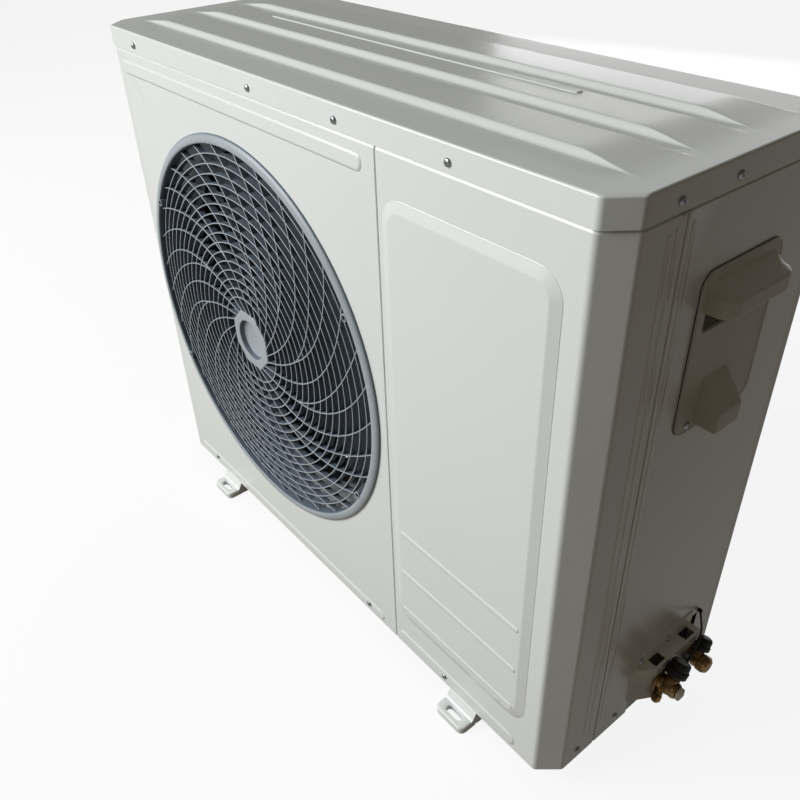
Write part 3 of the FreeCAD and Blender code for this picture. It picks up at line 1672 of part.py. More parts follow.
def cap_strap():
    """Rubber strap: a ring round the front cap, a cord over the rear valve and an eye on the side panel."""
    step = flare_port_lengths[0] + black_cap_collar
    inner = black_cap_radii[0] - black_cap_step + seat_gap
    outer = inner + strap_ring
    ring = on_flare_port(turned_up([(inner, step), (outer, step), (outer, step + strap_ring_height),
                                    (inner, step + strap_ring_height)], 0, 0, 16), 0)
    eye_y = front + bracket_start + bracket_length + side_notch_width - notch_margin + 6
    eye_z = base + side_notch_top + 4
    eye = flat_rod(Vector(right, eye_y, eye_z), ACROSS, strap_eye, 6, 8)
    root = flare_port_root(0)
    rearward = Vector(0, flare_way.z, -flare_way.y)
    ring_side = root + flare_way * (step + strap_ring_height / 2) + rearward * (outer + strap_radius / 2)
    above_cap = root + flare_way * (step + 16) + rearward * (outer + 3)
    over_rear_valve = Vector(root.x - 6, eye_y - 33, eye_z)
    between_valves = Vector(root.x + 1, eye_y - 55, eye_z - 5)
    cord = pipe([Vector(right + 3, eye_y, eye_z), Vector(right + 15, eye_y - 15, eye_z + 2),
                 over_rear_valve, between_valves, above_cap, ring_side], strap_radius, 8)
    return joined([ring, eye, cord])


# Screws


def pan_head(start, way):
    """Low screw head that sits on a surface."""
    spin = FreeCAD.Rotation(UP, way)
    rings = []
    for rise, size in ((0, 1.0), (0.45, 1.0), (1.0, 0.7)):
        ring = []
        for k in range(6):
            turn = math.radians(60 * k)
            corner = Vector(size * screw_head_radius * math.cos(turn),
                            size * screw_head_radius * math.sin(turn), rise * screw_head_height)
            ring.append(start + spin.multVec(corner))
        rings.append(ring)
    return skin(rings, False)


def shouldered_screw(start, way, length):
    """Pan head with its shank; start is where the head sits."""
    shank = flat_rod(start, way * -1, screw_shank_radius, length, 6)
    return joined([pan_head(start, way), shank])


def cover_screws():
    z = top - cover_skirt + cover_screw_above_skirt
    outside = cover_gap + sheet
    heads = [pan_head(Vector(left + x, front - outside, z), REARWARD * -1) for x in cover_screws_from_left]
    heads += [pan_head(Vector(right + outside, front + y, z), ACROSS) for y in cover_screws_from_front]
    return Part.makeCompound(heads)


def bottom_screws():
    z = base + bottom_screw_height
    heads = []
    for x in bottom_screws_from_left:
        raised = bead_height
        heads.append(pan_head(Vector(left + x, front - raised, z), REARWARD * -1))
    heads += [pan_head(Vector(right, front + y, z), ACROSS) for y in bottom_screws_from_front]
    return Part.makeCompound(heads)


def guard_screws():
    y = front - boss_recess_floor
    length = boss_recess_floor + sheet + air_ring_wall + 3
    return Part.makeCompound([shouldered_screw(Vector(x, y, z), REARWARD * -1, length)
                              for x, z in guard_points(boss_radius_from_centre, boss_angle)])


def cable_cover_screw():
    return pan_head(Vector(right + cover_plate, cover_screw_y(), cover_screw_z()), ACROSS)


def bracket_screws():
    z = base + bracket_screw_height
    return Part.makeCompound([pan_head(Vector(right + bracket_sheet, front + y, z), ACROSS)
                              for y in bracket_screws_from_front])


parts = [top_cover, fan_panel, service_panel, right_side_panel, rear_corner_post, wire_guard, base_pan,
         foot_rail_left, foot_rail_right, fan_guard, air_ring, fan, motor_shaft, fan_nut, fan_motor,
         motor_bracket, condenser_coil, coil_end_plates, coil_bends, coil_header, partition_plate,
         compressor, compressor_foot, compressor_grommets, compressor_studs, terminal_cover, accumulator,
         liquid_receiver, filter_drier, suction_pipe, discharge_pipe, liquid_pipe, electrical_box,
         control_board, heat_sink, capacitors, terminal_block, cable_cover, valve_bracket, liquid_valve,
         gas_valve, liquid_valve_spindle, gas_valve_spindle, stem_cap, liquid_flare_cap, gas_flare_cap,
         liquid_port_cap, gas_port_cap, cap_strap, cover_screws, bottom_screws, guard_screws,
         cable_cover_screw, bracket_screws]

os.makedirs("parts", exist_ok=True)
for make in parts:
    shape = make()
    bounds = shape.BoundBox
    print(make.__name__, shape.isValid(), len(shape.Solids), "volume", round(shape.Volume),
          "x", round(bounds.XMin, 2), round(bounds.XMax, 2), "y", round(bounds.YMin, 2),
          round(bounds.YMax, 2), "z", round(bounds.ZMin, 2), round(bounds.ZMax, 2))
    shape.exportStep("parts/" + make.__name__ + ".step")
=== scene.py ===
# %% [markdown]
# An outdoor condensing unit: a painted sheet steel casing, a spiral fan guard, a fan and coil behind it,
# a cable cover and two brass service valves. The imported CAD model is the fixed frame. What shows as flat
# facets there is built again here with real bends, round ribs and pressed beads, in the same place.

# %% Load the frame
import math
import random

import bmesh
import bpy
from mathutils import Matrix, Vector


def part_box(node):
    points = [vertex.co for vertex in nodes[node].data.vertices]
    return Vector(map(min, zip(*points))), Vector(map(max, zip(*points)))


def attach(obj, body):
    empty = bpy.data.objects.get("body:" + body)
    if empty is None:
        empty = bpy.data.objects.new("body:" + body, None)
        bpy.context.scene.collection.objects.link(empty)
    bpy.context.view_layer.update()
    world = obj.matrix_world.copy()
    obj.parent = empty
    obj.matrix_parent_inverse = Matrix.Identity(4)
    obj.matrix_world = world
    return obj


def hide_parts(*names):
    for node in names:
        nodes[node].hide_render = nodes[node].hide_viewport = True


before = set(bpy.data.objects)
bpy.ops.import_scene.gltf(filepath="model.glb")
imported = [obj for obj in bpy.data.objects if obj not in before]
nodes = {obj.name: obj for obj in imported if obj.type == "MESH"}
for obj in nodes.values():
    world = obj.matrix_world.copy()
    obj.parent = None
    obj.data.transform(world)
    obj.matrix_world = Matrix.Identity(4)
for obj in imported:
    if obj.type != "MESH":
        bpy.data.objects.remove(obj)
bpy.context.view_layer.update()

# %% [markdown]
# All shapes are written in millimetres, as on a maker's drawing, and become metres in one place.
# X runs to the right seen from the front, Y to the back and Z up. The main planes are read from the
# frame where a node gives them, so that each sheet sits where its CAD piece sits.

# %% Main planes
MM = 0.001


def planes(node):
    """Lowest and highest corner of a CAD node in millimetres."""
    low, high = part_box(node)
    return low / MM, high / MM


post_low, post_high = planes("rear_corner_post")
left = post_low.x
right = -left
back = post_high.y
front = -back
base = post_low.z
ceiling = post_high.z
sheet = 1.2
top = ceiling + sheet
seam = 170.0
seam_gap = 1.5
side_seam = -79.0
chamfer_front = 23.5
chamfer_side = 28.0
casing_middle = (0, 0, (base + top) / 2)
guard_low, guard_high = planes("fan_guard")
guard_x = (guard_low.x + guard_high.x) / 2
guard_z = (guard_low.z + guard_high.z) / 2
print("casing", left, right, front, back, base, top, "guard centre", round(guard_x, 1), round(guard_z, 1))

# %% [markdown]
# A Form gathers points and faces before they become a mesh. Almost every piece here is one of three
# moves: rings of points joined by a skin, a profile turned round an axis, or a section swept along a
# line. Writing these once keeps each piece short.

# %% Form: points and faces


class Form:
    """Points in millimetres and faces between them."""

    def __init__(self):
        self.points = []
        self.faces = []

    def add(self, points, faces):
        start = len(self.points)
        self.points.extend(Vector(p) for p in points)
        self.faces.extend([start + i for i in face] for face in faces)

    def skin(self, rings, ring_closed=True, first=False, last=False, looped=False):
        """Faces between rings of equally many points; first and last close the ends."""
        count = len(rings[0])
        pairs = [(k, k + 1) for k in range(len(rings) - 1)]
        if looped:
            pairs.append((len(rings) - 1, 0))
        faces = []
        for a, b in pairs:
            for k in range(count if ring_closed else count - 1):
                after = (k + 1) % count
                faces.append([a * count + k, a * count + after, b * count + after, b * count + k])
        if first:
            faces.append(list(range(count))[::-1])
        if last:
            faces.append([(len(rings) - 1) * count + k for k in range(count)])
        self.add([p for ring in rings for p in ring], faces)

    def solid(self, rings):
        """A skin with both ends closed."""
        self.skin(rings, first=True, last=True)


def across_ways(along):
    """Two directions at right angles to along and to each other."""
    along = Vector(along).normalized()
    helper = Vector((0, 0, 1)) if abs(along.z) < 0.9 else Vector((1, 0, 0))
    u = along.cross(helper).normalized()
    return u, along.cross(u)


def circle(centre, u, v, radius, count, start=0.0):
    """Points at even steps round a centre, in the plane of u and v; start is the first one's angle."""
    turns = [start + 2 * math.pi * k / count for k in range(count)]
    return [centre + (u * math.cos(turn) + v * math.sin(turn)) * radius for turn in turns]


def turn_profile(form, profile, centre, along, steps, looped=False):
    """Turns a profile of (radius, distance along the line from centre) round that line."""
    u, v = across_ways(along)
    centre = Vector(centre)
    along = Vector(along).normalized()
    form.skin([circle(centre + along * distance, u, v, radius, steps) for radius, distance in profile],
              looped=looped)


def sweep_tube(form, path, radius, sides=10):
    """A round tube along a line of points."""
    path = [Vector(p) for p in path]
    u, v = across_ways(path[1] - path[0])
    rings = []
    for k, point in enumerate(path):
        way = (path[min(k + 1, len(path) - 1)] - path[max(k - 1, 0)]).normalized()
        u = (u - way * u.dot(way)).normalized()
        rings.append(circle(point, u, way.cross(u), radius, sides))
    form.solid(rings)


def soft_corner(start, corner, end, steps):
    """A curve from start to end that leans towards the corner."""
    shares = [k / steps for k in range(steps + 1)]
    return [start * (1 - s) ** 2 + corner * 2 * s * (1 - s) + end * s ** 2 for s in shares]


def rounded_line(points, radius, steps=6):
    """The open line through the points, each inner corner rounded by an arc."""
    points = [Vector(p) for p in points]
    line = [points[0]]
    for before, corner, after in zip(points, points[1:], points[2:]):
        way_in = (corner - before).normalized()
        way_out = (after - corner).normalized()
        turn = way_in.angle(way_out)
        reach = min(radius * math.tan(turn / 2), (corner - before).length * 0.48,
                    (after - corner).length * 0.48)
        line += soft_corner(corner - way_in * reach, corner, corner + way_out * reach, steps)
    line.append(points[-1])
    return line


def rounded_corners(corners, reach, steps=5):
    """Closed outline whose corners are cut at reach before and after and joined by a curve."""
    outline = []
    for k, corner in enumerate(corners):
        to_before = (corners[k - 1] - corner).normalized()
        to_after = (corners[(k + 1) % len(corners)] - corner).normalized()
        outline += soft_corner(corner + to_before * reach[k], corner, corner + to_after * reach[k], steps)
    return outline


def round_rectangle(a0, a1, b0, b1, corner, inset=0.0, ease=1.0, steps=8):
    """Closed outline of a rectangle with round corners, drawn in by inset on all sides.

    ease says how much of the inset the corner's radius gives up.
    """
    a0, a1, b0, b1 = a0 + inset, a1 - inset, b0 + inset, b1 - inset
    corner = max(corner - ease * inset, 0.05)
    outline = []
    centres = ((a1 - corner, b1 - corner), (a0 + corner, b1 - corner),
               (a0 + corner, b0 + corner), (a1 - corner, b0 + corner))
    for quarter, (a, b) in enumerate(centres):
        for k in range(steps + 1):
            turn = math.radians(90 * (quarter + k / steps))
            outline.append((a + corner * math.cos(turn), b + corner * math.sin(turn)))
    return outline


def press_field(form, bounds, corner, levels, place, ease=1.0):
    """A raised round rectangle; levels hold (inset, height) and place puts a point on its sheet."""
    form.skin([[place(a, b, height) for a, b in round_rectangle(*bounds, corner, inset, ease)]
               for inset, height in levels], last=True)


def on_front(a, b, height):
    return a, front - height, b


def on_right(a, b, height):
    return right + height, a, b


def at_x(x, outline):
    return [(x, a, b) for a, b in outline]


def at_z(z, outline):
    return [(a, b, z) for a, b in outline]


# %% [markdown]
# One function turns a Form into a Blender object. It welds the points, turns the faces outwards, rounds
# sharp edges with a bevel where one is asked for, gives the piece its finish and its body, and hides
# the CAD nodes that it stands for. Thin pressed sheets get their thickness from a Solidify modifier.

# %% Form to object
made_pieces = []


def turn_outwards(work, inside):
    """Turns each joined group of faces so that it looks away from the point inside."""
    seen = set()
    for first in work.faces:
        if first in seen:
            continue
        group = [first]
        seen.add(first)
        for face in group:
            for edge in face.edges:
                for other in edge.link_faces:
                    if other not in seen:
                        seen.add(other)
                        group.append(other)
        looks_out = sum(f.calc_area() * f.normal.dot(f.calc_center_median() - inside) for f in group)
        if looks_out < 0:
            bmesh.ops.reverse_faces(work, faces=group)


def add_object(name, data):
    """A new object in the scene."""
    added = bpy.data.objects.new(name, data)
    bpy.context.scene.collection.objects.link(added)
    return added


def mesh_of(form, name, inside=None):
    """A welded mesh in metres; the faces of an open sheet look away from the point inside."""
    mesh = bpy.data.meshes.new(name)
    mesh.from_pydata([p * MM for p in form.points], [], form.faces)
    work = bmesh.new()
    work.from_mesh(mesh)
    bmesh.ops.remove_doubles(work, verts=work.verts, dist=0.004 * MM)
    bmesh.ops.dissolve_degenerate(work, edges=work.edges, dist=0.001 * MM)
    bmesh.ops.recalc_face_normals(work, faces=work.faces)
    if inside is not None:
        turn_outwards(work, Vector(inside) * MM)
    work.to_mesh(mesh)
    work.free()
    return mesh


def modify(piece, name, kind, **settings):
    """Adds a modifier with these settings."""
    added = piece.modifiers.new(name, kind)
    for setting, value in settings.items():
        setattr(added, setting, value)


def round_edges(piece, width, sharp, **settings):
    """A bevel on the edges that are sharper than this angle in degrees."""
    modify(piece, "edges", "BEVEL", width=width * MM, segments=2, limit_method="ANGLE",
           angle_limit=math.radians(sharp), **settings)


def make(form, name, material, replaces=(), body="casing", bevel=0.0, sharp=38,
         thickness=0.0, inside=None):
    """Builds the object; bevel and thickness are in millimetres, sharp in degrees."""
    mesh = mesh_of(form, name, inside)
    for polygon in mesh.polygons:
        polygon.use_smooth = True
    mesh.materials.append(material)
    piece = add_object(name, mesh)
    if thickness:
        modify(piece, "sheet", "SOLIDIFY", thickness=thickness * MM, offset=-1, use_even_offset=True)
    if bevel:
        round_edges(piece, bevel, sharp, harden_normals=True)
    else:
        mesh.set_sharp_from_angle(angle=math.radians(sharp))
        modify(piece, "shading", "WEIGHTED_NORMAL", keep_sharp=True, weight=100)
    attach(piece, body)
    if replaces:
        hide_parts(*replaces)
    made_pieces.append(name)
    print(name, "faces:", len(mesh.polygons))


# %% [markdown]
# A finish is a Principled shader whose colour, roughness and fine relief come from noise at the scale of
# the real surface. Values that are the same all over are set on the shader itself, so that they
# survive an export. The coordinates are the object's own, in metres, so that a pattern keeps its size and
# turns with its piece.

# %% Finish builder


def tone(red, green, blue):
    """An 8-bit screen colour as the linear colour that a shader wants."""
    linear = []
    for value in (red, green, blue):
        share = value / 255
        linear.append(share / 12.92 if share <= 0.04045 else ((share + 0.055) / 1.055) ** 2.4)
    return (*linear, 1.0)


def feed(tree, step, inputs):
    """Gives each input its value, or a link where the value is another node's output."""
    for socket, value in inputs.items():
        if isinstance(value, bpy.types.NodeSocket):
            tree.links.new(value, step.inputs[socket])
        else:
            step.inputs[socket].default_value = value


def add_node(tree, kind, inputs):
    """A new shader node with its inputs fed."""
    step = tree.nodes.new(kind)
    feed(tree, step, inputs)
    return step


def noise(tree, coords, scale, detail, roughness=0.55, stretch=(1, 1, 1)):
    """A noise texture's factor, in cycles per metre."""
    mapping = add_node(tree, "ShaderNodeMapping", {"Vector": coords, "Scale": stretch})
    return add_node(tree, "ShaderNodeTexNoise", {"Vector": mapping.outputs["Vector"], "Scale": scale,
                                                 "Detail": detail, "Roughness": roughness}).outputs["Fac"]


def spread(tree, factor, low, high, start=0.35, end=0.65):
    """Maps a factor to values between low and high."""
    return add_node(tree, "ShaderNodeMapRange", {"Value": factor, "From Min": start, "From Max": end,
                                                 "To Min": low, "To Max": high}).outputs["Result"]


def blend_colours(tree, factor, first, second):
    """Mixes two colours or colour outputs by a factor."""
    mix = tree.nodes.new("ShaderNodeMix")
    mix.data_type = "RGBA"
    feed(tree, mix, {0: factor, 6: first, 7: second})
    return mix.outputs[2]


def finish(name, light, dark, rough, patch, grain=900.0, relief=0.02, metal=0.0, coat=0.0,
           stretch=(1, 1, 1), speck=0.0, sides=None):
    """A finish between two close screen colours, with patches, fine grain and a little relief.

    rough holds the lowest and highest roughness, patch and grain are cycles per metre, relief is the
    depth of the grain in millimetres, and sides is a painted shade: faces that look away from the front are
    darkened towards it.
    """
    light, dark = tone(*light), tone(*dark)
    material = bpy.data.materials.new(name)
    material.use_nodes = True
    tree = material.node_tree
    shader = tree.nodes["Principled BSDF"]
    own = tree.nodes.new("ShaderNodeTexCoord").outputs
    coords = own["Object"]
    patches = noise(tree, coords, patch, 4.0, 0.6, stretch)
    fine = noise(tree, coords, grain, 2.0, 0.5, stretch)
    colour = blend_colours(tree, spread(tree, patches, 0.0, 1.0), light, dark)
    if speck:
        dots = noise(tree, coords, grain * 0.6, 1.0)
        colour = blend_colours(tree, spread(tree, dots, 0.0, speck, 0.55, 0.75), colour, dark)
    # Painted shade: faces that look away from the front are darkened towards the sides colour.
    if sides:
        facing = add_node(tree, "ShaderNodeSeparateXYZ", {0: own["Normal"]})
        painted_shade_share = spread(tree, facing.outputs["Y"], 0.0, 1.0, -0.94, -0.5)
        colour = blend_colours(tree, painted_shade_share, colour, tone(*sides))
    bump = add_node(tree, "ShaderNodeBump", {"Strength": 1.0, "Distance": relief * MM, "Height": fine})
    feed(tree, shader, {"Base Color": colour, "Roughness": spread(tree, patches, *rough, 0.3, 0.7),
                        "Normal": bump.outputs["Normal"], "Metallic": metal, "Specular IOR Level": 0.5,
                        "Coat Weight": coat, "Coat Roughness": 0.12})
    return material


# %% [markdown]
# The casing is polyester powder paint on zinc-coated steel: a warm off-white with a soft gloss and a very
# fine orange-peel skin. Moulded pieces have the same colour but a finer, duller grain. Bare zinc shows
# cloudy patches, forged brass is mottled, and the fan and its guard are satin blue-grey plastic.

# %% The finishes
paint = finish("casing_paint", (231, 234, 231), (228, 231, 228), (0.27, 0.31), 1.6, 420.0, 0.012, coat=0.2)
paint_inside = finish("inside_paint", (206, 207, 202), (194, 196, 191), (0.38, 0.5), 5.0, 420.0, 0.012)
moulded = finish("cover_plastic", (219, 217, 207), (212, 210, 199), (0.42, 0.52), 5.0, 1300.0, 0.03)
# The sides colour here is painted shade on the walls of the guard's ribs, rim and hub dish.
guard_plastic = finish("guard_plastic", (173, 180, 186), (161, 169, 175), (0.3, 0.4), 9.0, 1500.0, 0.015,
                       sides=(104, 114, 125))
ring_white = finish("ring_paint", (214, 219, 220), (196, 203, 206), (0.35, 0.48), 7.0)
fan_plastic = finish("fan_plastic", (62, 70, 81), (49, 56, 66), (0.33, 0.48), 14.0, 1500.0)
zinc = finish("zinc", (188, 190, 190), (142, 146, 149), (0.26, 0.46), 120.0, relief=0.01, metal=1.0)
galvanised = finish("galvanised", (186, 190, 192), (158, 163, 167), (0.34, 0.52), 45.0, 300.0, metal=0.9)
brass = finish("brass", (176, 146, 102), (116, 90, 58), (0.32, 0.5), 90.0, 700.0, 0.04, metal=1.0)
steel = finish("steel", (198, 199, 199), (160, 162, 163), (0.22, 0.4), 60.0, 1200.0, 0.008, metal=1.0,
               stretch=(1, 8, 8))
square_white = finish("coated_square", (244, 237, 214), (228, 220, 196), (0.3, 0.42), 90.0)
copper = finish("copper", (205, 128, 92), (156, 84, 56), (0.25, 0.45), 40.0, 800.0, 0.01, metal=1.0)
fins = finish("coil_fins", (178, 182, 184), (141, 147, 151), (0.35, 0.55), 30.0, 500.0, 0.03, metal=0.8)
# This dark finish is painted shade for the deep inside of the coil, not a colour of its own.
coil_shade_finish = finish("coil_painted_shade", (58, 62, 66), (38, 42, 46), (0.5, 0.7), 30.0, 500.0)
wire_coat = finish("wire_coating", (222, 224, 219), (207, 210, 205), (0.3, 0.42), 12.0, 700.0)
enamel = finish("motor_enamel", (74, 78, 82), (60, 63, 67), (0.35, 0.5), 18.0)
vessel_black = finish("vessel_enamel", (33, 34, 36), (24, 25, 27), (0.3, 0.45), 10.0, 350.0, 0.04)
rubber = finish("rubber", (33, 33, 34), (23, 23, 24), (0.55, 0.72), 60.0, 1500.0, 0.04)
black_plastic = finish("black_plastic", (22, 23, 24), (14, 15, 16), (0.45, 0.6), 70.0, 1800.0, 0.04)
board = finish("board", (38, 92, 62), (28, 74, 50), (0.35, 0.5), 60.0, speck=0.4)
cast_fins = finish("heat_sink_metal", (196, 198, 200), (168, 171, 174), (0.35, 0.5), 40.0, metal=1.0)
sleeve = finish("can_sleeve", (34, 40, 62), (26, 31, 50), (0.3, 0.42), 40.0)
block_plastic = finish("block_plastic", (208, 203, 186), (196, 190, 172), (0.4, 0.52), 40.0)
bracket_paint = finish("bracket_paint", (236, 234, 226), (224, 222, 214), (0.3, 0.42), 30.0, 420.0, 0.012)
drier_green = finish("drier_enamel", (74, 98, 84), (62, 84, 71), (0.32, 0.45), 24.0, 500.0)
print("finishes:", len(bpy.data.materials))

# %% [markdown]
# The top cover is one pressed lid: a flat sheet with a skirt, two cut corners in front, three long
# raised fields that stiffen it and a narrow rib between them. Its outline is offset ring by ring round a
# small bend, so the light runs round the edge as on folded steel, and each field is a skin from a long
# foot outline up to a shorter crest.

# %% Outline of the casing seen from above
outline_bend = 9.0


def casing_outline(margin):
    """The casing's plan with its cut front corners, moved out by margin, with rounded bends."""
    slant = math.hypot(chamfer_front, chamfer_side)
    along_front = chamfer_front - margin * (slant - chamfer_front) / chamfer_side
    along_side = chamfer_side - margin * (slant - chamfer_side) / chamfer_front
    near = front - margin
    far = back + margin
    corners = [Vector(corner) for corner in (
        (left - margin, far), (left - margin, near + along_side), (left + along_front - margin, near),
        (right - along_front + margin, near), (right + margin, near + along_side), (right + margin, far))]
    turns = [(corner - before).angle(after - corner) for before, corner, after in
             zip(corners[-1:] + corners, corners, corners[1:] + corners[:1])]
    return rounded_corners(corners, [outline_bend * math.tan(turn / 2) for turn in turns])


# %% Top cover: sheet and skirt
skirt_low = top - 28.5
lid_margin = 1.6
lid_bend = 2.6
fold_x = -302.0


def lid_ring(margin, z, step):
    """One ring of the lid; left of fold_x the front skirt lies deeper by step."""
    outline = casing_outline(margin)
    first_right = next(k for k, (x, y) in enumerate(outline) if x > 0)
    x, y = outline[first_right - 1]
    near = outline[first_right][1]
    outline[first_right - 1] = (x, y + step)
    outline[first_right:first_right] = [(fold_x - 0.8, near + step), (fold_x, near)]
    return at_z(z, outline)


lid = Form()
lid_rings = []
for margin, z in ((0.4, ceiling), (0.4, skirt_low + 0.4), (0.8, skirt_low), (1.2, skirt_low),
                  (lid_margin, skirt_low + 0.4)):
    lid_rings.append(lid_ring(margin, z, 0.4))
for k in range(7):
    turn = math.radians(15 * k)
    lid_rings.append(lid_ring(lid_margin - lid_bend * (1 - math.cos(turn)),
                              top - lid_bend * (1 - math.sin(turn)), 0.4 - 0.4 * k / 6))
lid.solid(lid_rings)


# %% Top cover: long ribs
def long_rib(form, foot_front):
    """A pressed field: a bright slope in front, a wide crest that falls a little, a short slope behind."""
    height = planes("top_cover")[1].z - top
    foot_half = 449.0
    crest_half = 372.0
    slope = 12.0
    depth = 71.0
    behind = 6.0
    rings = []
    for k in range(11):
        share = k / 10
        rise = share * share * (3 - 2 * share)
        y0 = foot_front + slope * share
        y1 = foot_front + depth - behind * share
        half = foot_half + (crest_half - foot_half) * share
        corners = [Vector((x, y)) for x, y in ((-half, y0), (half, y0), (half, y1), (-half, y1))]
        ring = []
        for point in rounded_corners(corners, (5.0, 5.0, 2.5, 2.5)):
            back_share = (point.y - foot_front) / depth
            ring.append((point.x, point.y, top + 0.02 + (height - 0.02) * rise * (1 - 0.45 * back_share)))
        rings.append(ring)
    form.skin(rings, last=True)


rib_feet = [front + 48.0 + 83.0 * k for k in range(3)]
for rib_foot in rib_feet:
    long_rib(lid, rib_foot)

# %% Top cover: narrow rib
press_field(lid, (-299.0, 270.0, 12.0, 25.5), 3.0, ((-0.4, 2.4), (0.3, 3.4), (2.0, 4.9), (2.8, 5.3)),
            lambda a, b, height: (a, b, top + height), ease=0.6)
make(lid, "top_cover_sheet", paint, ["top_cover"], sharp=32, inside=casing_middle)

# %% [markdown]
# The front is two sheets, bent at the cut corners and folded in at the seam between them. The seam is a
# real gap of 1.5 mm, so it draws its own dark line. The beads are long round-ended ridges pressed outwards,
# made as nested rounded rectangles that rise by about a millimetre.

# %% Sheets and beads


tuck_start = skirt_low - 4.2
tuck = ((0.0, tuck_start), (0.15, tuck_start + 0.7), (0.75, tuck_start + 1.8), (1.3, tuck_start + 2.7),
        (1.4, tuck_start + 3.4), (1.4, ceiling))


def bent_wall(form, plan, bend, z0=base):
    """The outer face of a sheet bent along a plan line, from z0 up; it is tucked in behind the skirt."""
    line = rounded_line([Vector((x, y, 0)) for x, y in plan], bend)
    levels = tuck if z0 == tuck_start else ((0.0, z0), *tuck)
    form.skin([[(p.x * (1 - inset / right), p.y * (1 - inset / back), z) for p in line]
               for inset, z in levels], ring_closed=False)


def wall_with_round_hole(form, x0, x1, z0, z1, y, centre_x, centre_z, radius, steps=144):
    """A flat wall between x0 and x1 with a round hole, made of four-sided faces."""
    turns = [2 * math.pi * k / steps for k in range(steps)]
    for x in (x0, x1):
        for z in (z0, z1):
            turns.append(math.atan2(z - centre_z, x - centre_x) % (2 * math.pi))
    turns.sort()
    inner = []
    outer = []
    for turn in turns:
        c = math.cos(turn)
        s = math.sin(turn)
        reach_x = ((x1 if c > 0 else x0) - centre_x) / c if abs(c) > 1e-9 else 1e9
        reach_z = ((z1 if s > 0 else z0) - centre_z) / s if abs(s) > 1e-9 else 1e9
        reach = min(reach_x, reach_z)
        inner.append((centre_x + radius * c, y, centre_z + radius * s))
        outer.append((centre_x + reach * c, y, centre_z + reach * s))
    form.skin([inner, outer])


def front_bead(form, x0, x1, low, width):
    """A round-ended ridge pressed out of a front sheet."""
    press_field(form, (x0, x1, low, low + width), width * 0.49,
                ((-0.5, 0.01), (0.3, 0.18), (1.6, 0.95), (2.6, 1.18), (3.4, 1.2)), on_front)


def side_bead(form, y0, width, below):
    """An upright ridge pressed out of a sheet on the right side; below is its distance from the top."""
    press_field(form, (y0, y0 + width, base + 41.0, ceiling - below), width * 0.45,
                ((-1.0, 0.01), (0.3, 0.1), (1.4, 0.42), (2.2, 0.5)), on_right)


def make_sheet(form, node):
    """A pressed sheet of the casing that stands for a CAD node."""
    make(form, node + "_sheet", paint, [node], thickness=sheet, inside=casing_middle, sharp=40)


# %% Fan panel
seam_bend = 1.6
flange = 14.0
fold_reach = 20.0
seam_edge = seam - seam_gap / 2
hole_radius = 285.0
flat_start = left + 38.0
flat_end = seam_edge - fold_reach
fan_wall = Form()
bent_wall(fan_wall, [(left, side_seam), (left, front + chamfer_side), (left + chamfer_front, front),
                     (flat_start, front)], outline_bend)
bent_wall(fan_wall, [(flat_end, front), (seam_edge, front), (seam_edge, front + flange)], seam_bend)
wall_with_round_hole(fan_wall, flat_start, flat_end, base, tuck_start, front, guard_x, guard_z, hole_radius)
bent_wall(fan_wall, [(flat_start, front), (flat_end, front)], 0, tuck_start)
front_bead(fan_wall, left + 40.0, seam - 23.0, top - 63.0, 19.0)
front_bead(fan_wall, left + 45.0, seam - 29.0, base + 5.0, 17.0)
make_sheet(fan_wall, "fan_panel")

# %% Service panel
service_edge = seam + seam_gap / 2
strip_edge = side_seam - seam_gap / 2
strip_fold = strip_edge - 8.0
service_wall = Form()
bent_wall(service_wall, [(service_edge, front + flange), (service_edge, front),
                         (service_edge + fold_reach, front)], seam_bend)
bent_wall(service_wall, [(service_edge + fold_reach, front), (right - chamfer_front, front),
                         (right, front + chamfer_side), (right, strip_fold)], outline_bend)
bent_wall(service_wall, [(right, strip_fold), (right, strip_edge), (right - flange, strip_edge)], seam_bend)
front_bead(service_wall, seam + 9.0, right - 59.0, base + 6.5, 20.0)
side_bead(service_wall, side_seam - 25.5, 5.0, 44.0)
side_bead(service_wall, side_seam - 14.5, 5.0, 41.0)

# %% Service panel: raised field with its three ribs
field_left = seam + 8.0
field_right = right - 48.0
field_height = 3.6
press_field(service_wall, (field_left, field_right, base + 66.0, top - 76.5), 30.0,
            ((-0.8, 0.01), (0.4, 0.12), (1.4, 0.4), (11.0, 3.2), (12.0, 3.45), (13.2, field_height)),
            on_front)
for k in range(3):
    low = base + 85.0 + 72.6 * k
    press_field(service_wall, (field_left + 16.0, field_right - 16.0, low, low + 8.0), 3.6,
                [(inset, field_height + rise) for inset, rise in
                 ((-0.4, 0.01), (0.3, 0.2), (1.4, 0.8), (2.2, 1.0))], on_front)
make_sheet(service_wall, "service_panel")

# %% Service panel: tab at the side seam
side_tab = Form()
side_tab.skin([[(right + 0.2, a, b), (right + reach, a, b)] for a, b, reach in
               ((side_seam - 15.0, skirt_low - 1.0, 2.2), (side_seam - 13.5, skirt_low - 1.2, 3.6),
                (side_seam - 4.5, skirt_low - 1.2, 3.6), (side_seam - 3.0, skirt_low - 1.0, 2.2))],
              ring_closed=False)
make(side_tab, "service_panel_tab", paint, thickness=0.8, inside=(right, side_seam, base))

# %% [markdown]
# The right side sheet has an opening behind the cable cover's hand hollow and a notch at its foot where
# the valve bracket comes through. It is laid out as a grid of rectangles, and the cells that are cut away
# are simply left out.

# %% Right side sheet
cover_low, cover_high = planes("cable_cover")
bracket_low, bracket_high = planes("valve_bracket")
hollow_near = cover_low.y + 8.0
hollow_far = cover_high.y - 8.0
hollow_low = cover_low.z + 126.0
hollow_high = cover_high.z - 12.0
notch_near = bracket_low.y + 5.0
notch_far = bracket_high.y - 5.0
notch_top = base + 86.0
step_far = notch_far + 20.0
step_top = base + 100.0


def is_cut(y, z):
    in_hollow = hollow_near < y < hollow_far and hollow_low < z < hollow_high
    in_notch = notch_near < y < notch_far and z < notch_top
    in_step = notch_far < y < step_far and z < step_top
    return in_hollow or in_notch or in_step


